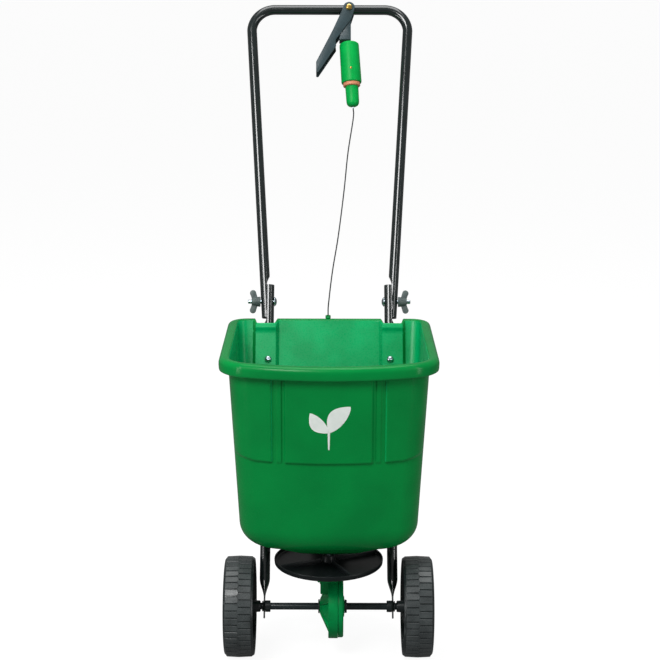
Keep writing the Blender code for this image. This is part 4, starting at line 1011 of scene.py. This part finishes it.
@dataclass
class Drive(Assembly):
    """The gearbox with its gears, and the spinning disc on the upright shaft."""

    split: float = 0.0168
    bore: float = 0.0096
    disc_r: float = 0.0985
    disc_z: float = 0.176

    def housing(self) -> bpy.types.Object:
        """The half with the cone: a round case, a ribbed tower and gussets."""
        bore, split = self.bore, self.split
        case = Bench.place(Bench.turned(
            [(bore, -0.016), (0.013, -0.016), (0.0138, -0.0148), (0.04, -0.0005), (0.0565, -0.0005),
             (0.0575, 0.0008), (0.0575, split), (0.054, split), (0.054, 0.003), (0.0385, 0.003),
             (0.0165, -0.0105), (bore, -0.0105)], 0.0006, 72), TO_X)
        tower = Bench.block((0.015 + split, 0.04, 0.05), ((split - 0.015) / 2, 0.0, 0.055), 0.0025)
        parts = [tower]
        for y in (-0.02, 0.02):
            for x in (-0.0145, 0.0015, 0.013):
                parts.append(Bench.block((0.003, 0.0024, 0.028), (x, y, 0.065), 0.0006))
        parts.append(Bench.block((0.017, 0.013, 0.026), (-0.0115, -0.013, 0.066), 0.0014))
        parts.append(Bench.block((0.017, 0.013, 0.026), (-0.0115, 0.013, 0.066), 0.0014))
        for turn in (60, 120, 180, 240, 300, 0):
            gusset = Bench.plate([(0.01, -0.0152), (0.015, -0.0152), (0.05, -0.0002), (0.05, 0.002),
                                  (0.01, 0.002)], 0.0026, 0.0005)
            Bench.place(gusset, spin(turn, "X") @ TO_X @ UPRIGHT)
            parts.append(gusset)
        for part in parts:
            Bench.combine(case, part, "UNION")
        room = Bench.place(Bench.turned([(0.0, -0.01), (0.0165, -0.01), (0.0385, 0.003), (0.054, 0.003),
                                         (0.054, 0.03), (0.0, 0.03)], 0.0, 64), TO_X)
        Bench.combine(case, room)
        Bench.combine(case, Bench.bore(self.bore, 0.04, shift(-0.02, 0, 0) @ TO_X))
        Bench.combine(case, Bench.bore(0.0065, 0.06, shift(0.0, 0.0, 0.075)))
        Bench.combine(case, Bench.block((0.04, 0.2, 0.2), (split + 0.02, 0.0, 0.0), 0.0001))
        return Bench.place(case, AXLE)

    def cover(self) -> bpy.types.Object:
        """The flat half: a stepped round lid with a tower that closes over the pinion."""
        bore, joint = self.bore, self.split + FIT
        lid = Bench.place(Bench.turned(
            [(bore, 0.024), (0.05, 0.024), (0.053, 0.023), (0.053, joint), (0.056, joint),
             (0.0558, 0.025), (0.0535, 0.0268), (0.02, 0.0268), (0.018, 0.0285), (0.014, 0.0288),
             (bore, 0.0288)], 0.0006, 72), TO_X)
        tower = Bench.block((0.0095, 0.038, 0.024), (joint + 0.00475, 0.0, 0.067), 0.0016)
        Bench.combine(lid, tower, "UNION")
        room = Bench.place(Bench.turned([(0.0, 0.0), (0.053, 0.0), (0.053, 0.023), (0.05, 0.024),
                                         (0.0, 0.024)], 0.0, 64), TO_X)
        Bench.combine(lid, room)
        return Bench.place(lid, AXLE)

    def disc(self) -> bpy.types.Object:
        """The spreading disc: a thin dish with a rolled lip, a hub and four vanes."""
        z, r = self.disc_z, self.disc_r
        dish = Bench.turned(
            [(0.0043, z - 0.0015), (0.011, z - 0.0015), (0.0122, z), (0.03, z), (0.09, z),
             (r - 0.0022, z + 0.0004), (r - 0.0006, z + 0.002), (r, z + 0.008), (r - 0.0003, z + 0.0098),
             (r - 0.0022, z + 0.0098), (r - 0.0028, z + 0.004), (r - 0.005, z + 0.0024), (0.017, z + 0.0024),
             (0.0128, z + 0.004), (0.0104, z + 0.015), (0.0043, z + 0.015)], 0.0007, 96)
        vane = Bench.block((0.079, 0.0024, 0.009), (0.0545, 0.0, z + 0.0058), 0.0008)
        Bench.combine(dish, Bench.copy(vane, spin(25, "Z")), "UNION")
        for i in (1, 2, 3):
            Bench.combine(dish, Bench.copy(vane, spin(25 + 90 * i, "Z")), "UNION")
        bpy.data.objects.remove(vane)
        return Bench.place(dish, ORIGIN)

    def build(self) -> None:
        """Make the gearbox, its bushes and screws, the disc, the shaft and the agitator."""
        self.keep("gearbox_housing_detail", self.housing(), Look.GEAR_CASE, "frame", "gearbox_housing",
                  sharp=30.0)
        self.keep("gearbox_cover_detail", self.cover(), Look.GEAR_CASE, "frame", "gearbox_cover",
                  sharp=30.0)
        rim = AXLE_R + RUNNING_FIT
        left = [(rim, -0.0106), (0.0093, -0.0106), (0.0093, -0.0163), (0.0125, -0.0163), (0.0125, -0.0188),
                 (rim, -0.0188)]
        right = [(rim, 0.0243), (0.0093, 0.0243), (0.0093, 0.0291), (0.0125, 0.0291), (0.0115, 0.0332),
                 (rim, 0.0332)]
        self.fitting("gearbox_bush_left", "frame", left, Look.NYLON, AXLE @ TO_X, 48)
        self.fitting("gearbox_bush_right", "frame", right, Look.NYLON, AXLE @ TO_X, 48)
        top = [(0.00415, 0.062), (0.0062, 0.062), (0.0062, 0.0803), (0.0095, 0.0803), (0.0095, 0.0818),
               (0.00415, 0.0818)]
        self.fitting("shaft_bush", "frame", top, Look.NYLON, AXLE, 48, 0.0003)
        screw = [(0.0, 0.0), (0.0018, 0.0), (0.0018, 0.019), (0.0034, 0.019), (0.0031, 0.0206),
                 (0.0016, 0.0213), (0.0, 0.0214)]
        for i, y in enumerate((-0.014, 0.014)):
            at = AXLE @ shift(0.0082, y, 0.074) @ TO_X
            self.fitting(f"gearbox_screw_{i + 1}", "frame", screw, Look.ZINC, at, 32, 0.0002)
        self.keep("impeller_disc_detail", self.disc(), Look.DISC, "impeller", "impeller_disc", sharp=30.0)
        low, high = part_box("impeller_shaft")
        shaft = [(0.0, low[2]), (0.004, low[2]), (0.004, high[2]), (0.0, high[2])]
        self.fitting("impeller_shaft", "impeller", shaft, Look.ZINC, ORIGIN, 32)
        pin = [Vector(p) for p in ((-0.036, 0.0, 0.238), (-0.03, 0.0, 0.236), (-0.014, 0.0, 0.234),
                                   (0.014, 0.0, 0.234), (0.03, 0.0, 0.232), (0.036, 0.0, 0.23))]
        wire = Bench.place(Bench.pipe(curve_through(pin, 4), 0.0016, 20), ORIGIN)
        self.keep("agitator_pin_detail", wire, Look.ZINC, "impeller", "agitator_pin")


@dataclass
class Handle(Assembly):
    """The folding U tube with its carriage bolts and wing nuts."""

    low: float = 0.538
    x_low: float = 0.1176
    x_top: float = 0.15
    corner: float = 0.045
    wing_x: float = 0.1302

    def path(self) -> list[Vector]:
        """The middle of the U in the folding plane, counted from the fold line."""
        low = self.low - FOLD_AT
        top = HANDLE_TOP - FOLD_AT
        tilt = math.degrees(math.atan2(self.x_top - self.x_low, top - low))
        turn = 90 - tilt
        centre = self.x_top - self.corner * math.tan(math.radians(turn / 2))
        bend = arc((centre, top - self.corner), self.corner, 90, 90 - turn, 20)
        start, end = Vector(bend[-1]), Vector((self.x_low, low))
        down = [start.lerp(end, t) for t in spread(0.0, 0.78, 10)[1:] + spread(0.79, 1.0, 30)]
        half = [(x, top) for x in spread(0.0, bend[0][0], 6)[:-1]] + bend + [tuple(p) for p in down]
        return [Vector((-x, 0.0, z)) for x, z in reversed(half[1:])] + [Vector((x, 0.0, z)) for x,
                                                                        z in half]

    def tube(self) -> bpy.types.Object:
        """The U tube, squeezed flat inside where it lies on the lower tubes."""

        def squeeze(at: Vector, middle: Vector) -> Vector:
            """Flatten the inner face near the joint."""
            side = math.copysign(1.0, middle.x)
            if middle.z > 0.2:
                return at
            flat = FOLD_FLAT_X - 0.012 * ease(middle.z, 0.036, 0.062)
            return Vector((side * max(side * at.x, flat), at.y, at.z))

        piece = Bench.pipe(self.path(), TUBE_R, 40, squeeze, wall=0.0016)
        return Bench.place(piece, FOLD)

    def wing_nut(self, side: int) -> bpy.types.Object:
        """A hub with two rounded wings, about its own axis, then laid outwards along X."""
        hub = Bench.turned([(0.0041, 0.0), (0.0095, 0.0), (0.0095, 0.0016), (0.0088, 0.008),
                            (0.0074, 0.015), (0.0068, 0.0165), (0.0041, 0.0165)], 0.0006, 40)
        shape = [(0.005, -0.002)] + arc((0.017, 0.0075), 0.006, -60, 130, 10) + [(0.01, 0.011),
                                                                                 (0.005, 0.009)]
        for way in (-1, 1):
            wing = Bench.plate([(x * way - 0.0005 * way, y) for x, y in shape], 0.0034, 0.001)
            Bench.tidy(wing)
            Bench.place(wing, shift(0.0, 0.0, 0.0065) @ UPRIGHT)
            Bench.combine(hub, wing, "UNION")
        turn = spin(90 * side, "Y")
        return Bench.place(hub, FOLD @ shift(side * self.wing_x, 0.0, 0.0) @ turn)

    def build(self) -> None:
        """Make the tube and its joint hardware."""
        self.keep("handle_tube_detail", self.tube(), Look.TUBE_PAINT, "handle", "handle_tube")
        head_x = leg_x(FOLD_AT) - TUBE_R - FIT
        tip = 0.1535
        bolt = [(0.0, head_x - 0.0048), (0.003, head_x - 0.0046), (0.0062, head_x - 0.0034),
                (0.0088, head_x - 0.001), (0.009, head_x), (0.0038, head_x), (0.0038, tip - 0.001),
                (0.003, tip), (0.0, tip)]
        for name, side in SIDES:
            turn = TO_X if side > 0 else TO_MINUS_X
            self.fitting("fold_bolt_" + name, "frame", bolt, Look.ZINC, FOLD @ turn, 40, 0.0003)
            self.keep(f"wing_nut_{name}_detail", self.wing_nut(side), Look.WING, "wing_nut_" + name,
                      "wing_nut_" + name, sharp=30.0)


@dataclass
class Control(Assembly):
    """The lever on its bracket, the grip with its ring and knob, the pull rod and the cable."""

    lever_out: float = 0.0136
    cheek_out: float = 0.0111
    barrel_top: float = -0.0698
    barrel_low: float = -0.1515

    def lever(self) -> bpy.types.Object:
        """Two flanges and a web, one pressing that straddles the bar."""
        flange = [*arc((0.0, 0.0), 0.0113, -20, 180, 24), (-0.0322, -0.0478), (-0.064, -0.1125),
                  (-0.064, -0.1335), (-0.06, -0.1342), (-0.025, -0.08), (-0.0263, -0.0672),
                  (0.004, -0.0246)]
        shape = fillet(flange, 0.003, 4)
        parts = []
        for way in (-1, 1):
            part = Bench.plate(shape, 0.0024, 0.0006)
            parts.append(Bench.place(part, shift(0.0, way * self.lever_out, 0.0) @ UPRIGHT))
        web = [(-0.0286, -0.04), (-0.0321, -0.0477), (-0.0639, -0.1124), (-0.0639, -0.133),
               (-0.0614, -0.1312), (-0.0614, -0.1128), (-0.0301, -0.049), (-0.0266, -0.042)]
        part = Bench.plate(web, 2 * self.lever_out, 0.0004)
        parts.append(Bench.place(part, UPRIGHT))
        whole = parts[0]
        for part in parts[1:]:
            Bench.combine(whole, part, "UNION")
        return Bench.place(whole, PIVOT)

    def bracket(self) -> bpy.types.Object:
        """Two cheeks and a foot that the grip hangs from."""
        shape = fillet([*arc((0.0, 0.0), 0.0085, 0, 180, 16), (-0.0124, -0.0285), (-0.019, -0.0655),
                        (0.0036, -0.0655), (0.0036, -0.02)], 0.0016, 3)
        parts = []
        for way in (-1, 1):
            part = Bench.plate(shape, 0.002, 0.0005)
            parts.append(Bench.place(part, shift(0.0, way * self.cheek_out, 0.0) @ UPRIGHT))
        parts.append(Bench.block((0.0226, 2 * self.cheek_out, 0.0024), (-0.0077, 0.0, -0.0643), 0.0005))
        whole = parts[0]
        for part in parts[1:]:
            Bench.combine(whole, part, "UNION")
        return Bench.place(whole, PIVOT)

    def cable(self) -> bpy.types.Object:
        """The whole cable, from the knob's ferrule to the gate's, as one smooth run."""
        knob_end = -0.2035
        tilt = math.sin(GRIP_TILT)
        top = HANDLE_TOP - FOLD_AT
        start = Vector((PIVOT_X + GRIP_X - knob_end * tilt, 0.0, top + knob_end * math.cos(GRIP_TILT)))
        upper = [start, start + Vector((0.0, 0.0, -0.02)), Vector((0.0355, 0.003, 0.295)),
                 Vector((0.028, 0.006, 0.22)), Vector((0.017, 0.006, 0.13)), Vector((0.006, 0.003, 0.06))]
        fold_y = FOLD_AT * math.sin(LEAN)
        fold_z = AXLE_Z + FOLD_AT * math.cos(LEAN)
        wire_z = sum(corner[2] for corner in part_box("cable_ferrule_lower")) / 2
        lower = [Vector((-0.0009, fold_y, fold_z)), Vector((-0.0021, 0.2465, 0.585)),
                 Vector((-0.0012, 0.2462, 0.545)), Vector((0.0, 0.235, 0.5)), Vector((0.0, 0.218, 0.42)),
                 Vector((0.0, 0.212, 0.32)), Vector((0.0, 0.208, 0.25)), Vector((0.0, 0.201, 0.222)),
                 Vector((0.0, 0.188, wire_z + 0.002)), Vector((0.0, 0.1744, wire_z))]
        route = curve_through([FOLD @ p for p in upper] + [ORIGIN @ p for p in lower], 8)
        length = sum((b - a).length for a, b in zip(route, route[1:]))
        LOG.info("control cable is %.3f m long", length)
        return Bench.pipe(route, 0.0012, 16, side=Vector((1.0, 0.0, 0.0)))

    def build(self) -> None:
        """Make the control, from the lever down to the cable's lower end."""
        self.keep("trigger_lever_detail", self.lever(), Look.LEVER, "trigger", "trigger_lever",
                  sharp=30.0)
        self.keep("lever_bracket_detail", self.bracket(), Look.LEVER, "handle", "lever_bracket",
                  sharp=30.0)
        bolt = [(0.0, -0.0195), (0.003, -0.0194), (0.0052, -0.0186), (0.0062, -0.0172), (0.0062, -0.0152),
                (0.003, -0.0152), (0.003, 0.02), (0.0, 0.02)]
        self.fitting("pivot_bolt", "handle", bolt, Look.BRASS, PIVOT @ TO_Y, 40, 0.0004)
        nut = [(0.0038, 0.0152), (0.0062, 0.0152), (0.0062, 0.0195), (0.0038, 0.0195)]
        self.fitting("pivot_nut", "handle", nut, Look.ZINC, PIVOT @ TO_Y, 6, 0.0004)
        top, low = self.barrel_top, self.barrel_low
        barrel = [(0.0032, top), (0.0162, top), (0.0186, top - 0.0024), (0.019, top - 0.006),
                  (0.0197, low + 0.003), (0.0192, low + 0.0004), (0.018, low), (0.013, low),
                  (0.013, low + 0.04), (0.006, low + 0.046), (0.0032, top - 0.003)]
        self.fitting("grip_barrel", "handle", barrel, Look.GRIP, GRIP, 72, 0.0008)
        rivet = [(0.0, -0.0206), (0.0014, -0.0205), (0.0025, -0.0196), (0.0025, -0.014), (0.0, -0.014)]
        rivet_at = GRIP @ shift(0.0, 0.0, -0.1264) @ TO_Y
        self.fitting("grip_rivet", "handle", rivet, Look.BRASS, rivet_at, 32, 0.0003)
        ring_low = low - 0.007
        ring = [(0.011, low - FIT), (0.0166, low - FIT), (0.0166, ring_low + 0.0012), (0.015, ring_low),
                (0.011, ring_low)]
        self.fitting("colour_ring", "handle", ring, Look.RING, GRIP, 64, 0.0006)
        end = low - 0.0475
        knob = [(0.002, low + 0.02), (0.0105, low + 0.02), (0.0105, ring_low - FIT),
                (0.0128, ring_low - FIT), (0.0124, end + 0.009), (0.0116, end + 0.005),
                (0.0098, end + 0.0022), (0.0072, end + 0.0006), (0.0045, end), (0.002, end)]
        self.fitting("rate_knob", "rate_knob", knob, Look.GRIP, GRIP, 64, 0.001)
        rod = [(0.0, -0.1095), (0.0014, -0.1095), (0.0014, -0.0615), (0.0, -0.0615)]
        self.fitting("pull_rod", "pull_rod", rod, Look.ZINC, GRIP, 20, 0.0003)
        tip = [(0.0, -0.203), (0.0015, -0.203), (0.0015, -0.183), (0.0, -0.183)]
        self.fitting("cable_ferrule_upper", "handle", tip, Look.ZINC, GRIP, 24, 0.0003)
        cable = self.cable()
        cable.name = "control_cable"
        Bench.pick(cable)
        bpy.ops.object.shade_smooth_by_angle(angle=math.radians(60))
        cable.data.materials.append(Look.SHEATH.material())
        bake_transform(cable)
        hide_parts("cable_lower", "cable_upper")


@dataclass
class Gate(Assembly):
    """The shut-off gate in its guide under the floor, its wire and ferrule, and the cable's clip."""

    dressed: tuple = (("gate_guide", Look.NYLON), ("ring_gear", Look.GEAR_NYLON),
                      ("drive_pinion", Look.GEAR_NYLON), ("shutoff_gate", Look.GEAR_NYLON))

    def build(self) -> None:
        """Make the visible small pieces, and dress the frame's own ones inside."""
        for node, look in self.dressed:
            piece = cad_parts[node]
            piece.data.materials.clear()
            piece.data.materials.append(look.material())
            LOG.info("%s dressed as %s", node, look.value.label)
        low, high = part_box("gate_wire")
        half = (high[1] - low[1]) / 2
        middle = [(a + b) / 2 for a, b in zip(low, high)]
        wire = [(0.0, -half), (0.0008, -half), (0.0008, half), (0.0, half)]
        self.fitting("gate_wire", "gate", wire, Look.ZINC, Matrix.Translation(middle) @ TO_Y, 16, 0.0001)
        low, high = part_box("cable_ferrule_lower")
        z = (low[2] + high[2]) / 2
        ferrule = [(0.0011, 0.0), (0.0031, 0.0), (0.0031, 0.005), (0.0026, 0.006), (0.0026, 0.009),
                   (0.0031, 0.01), (0.0031, 0.036), (0.0, 0.036), (0.0, 0.034), (0.0011, 0.034)]
        self.fitting("cable_ferrule_lower", "frame", ferrule, Look.ZINC, shift(0.0, low[1], z) @ TO_Y, 32,
                     0.0002)
        centre = (-0.0021, 0.2467, 0.58)
        collar = Bench.turned([(0.0025, -0.005), (0.005, -0.005), (0.005, 0.0008), (0.0025, 0.0008)],
                              0.0006, 40)
        Bench.place(collar, Matrix.Translation(centre))
        tab = Bench.block((0.006, 0.015, 0.0016), (centre[0], 0.2355, centre[2] - 0.0004), 0.0004)
        clip = Bench.place(Bench.together([collar, tab]), ORIGIN)
        self.keep("cable_clip_detail", clip, Look.BIN_OUTSIDE, "frame", "cable_clip")


@dataclass
class Studio:
    """The floor, the lights and the camera."""

    camera_height: float = 1.27
    camera_back: float = 2.9
    camera_x: float = 0.0016
    pitch: float = 12.85
    roll: float = 0.12
    lens: float = 92.35
    floor_glow: float = 0.92
    floor_fill: float = 0.06
    sky: float = 1.0
    sky_fill: float = 0.24
    lamps: tuple = (
        ("key", (-1.2, -2.6, 3.0), (0.0, 0.0, 0.5), (1.3, 1.3), 76.0),
        ("overhead", (0.0, 0.2, 3.4), (0.0, 0.0, 0.4), (2.2, 2.2), 58.0),
        ("left_strip", (-1.5, -1.2, 0.9), (0.0, 0.0, 0.6), (0.16, 1.9), 10.0),
        ("right_strip", (1.5, -1.2, 0.9), (0.0, 0.0, 0.6), (0.16, 1.9), 10.0),
    )

    def floor(self) -> None:
        """A pale paper floor that runs on to the horizon."""
        Bench.clear()
        bpy.ops.mesh.primitive_plane_add(size=120.0)
        floor = bpy.context.object
        floor.name = "floor"
        paper = bpy.data.materials.new("white_paper_sweep")
        paper.use_nodes = True
        shader = paper.node_tree.nodes["Principled BSDF"]
        shader.inputs["Base Color"].default_value = linear("6a6a6a")
        shader.inputs["Roughness"].default_value = 0.9
        shader.inputs["Emission Color"].default_value = (1.0, 1.0, 1.0, 1.0)
        self.seen(paper.node_tree, shader.inputs["Emission Strength"], self.floor_glow, self.floor_fill)
        floor.data.materials.append(paper)
        floor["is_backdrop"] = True

    @staticmethod
    def seen(tree: bpy.types.NodeTree, socket: bpy.types.NodeSocket, direct: float, fill: float) -> None:
        """Give a socket one strength where the camera looks at it and another for the light it sends."""
        looked_at = add_node(tree, "LightPath").outputs["Is Camera Ray"]
        strength = add_node(tree, "MapRange", {"Value": looked_at, "To Min": fill, "To Max": direct})
        tree.links.new(strength.outputs["Result"], socket)

    def light(self, name: str, place: Sequence[float], aim: Sequence[float], size: Sequence[float],
              watts: float) -> None:
        """A soft box aimed at a point."""
        data = bpy.data.lights.new(name, "AREA")
        data.shape = "RECTANGLE"
        data.size, data.size_y = size
        data.energy = watts
        lamp = bpy.data.objects.new(name, data)
        bpy.context.scene.collection.objects.link(lamp)
        lamp.location = place
        lamp.rotation_euler = (Vector(aim) - Vector(place)).to_track_quat("-Z", "Y").to_euler()

    def build(self) -> None:
        """Set the stage."""
        self.floor()
        world = bpy.data.worlds.new("soft_studio")
        world.use_nodes = True
        back = world.node_tree.nodes["Background"]
        back.inputs["Color"].default_value = (1.0, 1.0, 1.0, 1.0)
        self.seen(world.node_tree, back.inputs["Strength"], self.sky, self.sky_fill)
        scene = bpy.context.scene
        scene.world = world
        scene.view_settings.view_transform = "Standard"
        for lamp in self.lamps:
            self.light(*lamp)
        data = bpy.data.cameras.new("camera")
        data.lens = self.lens
        data.sensor_width = 36.0
        data.clip_end = 300.0
        camera = bpy.data.objects.new("camera", data)
        scene.collection.objects.link(camera)
        place = shift(self.camera_x, AXLE_Y - self.camera_back, self.camera_height)
        tilt = spin(90 - self.pitch, "X")
        camera.matrix_world = place @ tilt @ spin(self.roll, "Z")
        scene.camera = camera


def main() -> None:
    """Build the spreader from the ground up, then the studio."""
    logging.basicConfig(level=logging.INFO, format="%(name)s: %(message)s")
    for part in (Hopper(), LowerFrame(), Wheels(), Drive(), Handle(), Control(), Gate(), Studio()):
        LOG.info("building %s", type(part).__name__)
        part.build()
    boxes = {"cad": CAD_BOX, "visual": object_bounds()}
    {name: [list(map(float, corner)) for corner in box] for name, box in boxes.items()}


if __name__ == "__main__":
    main()
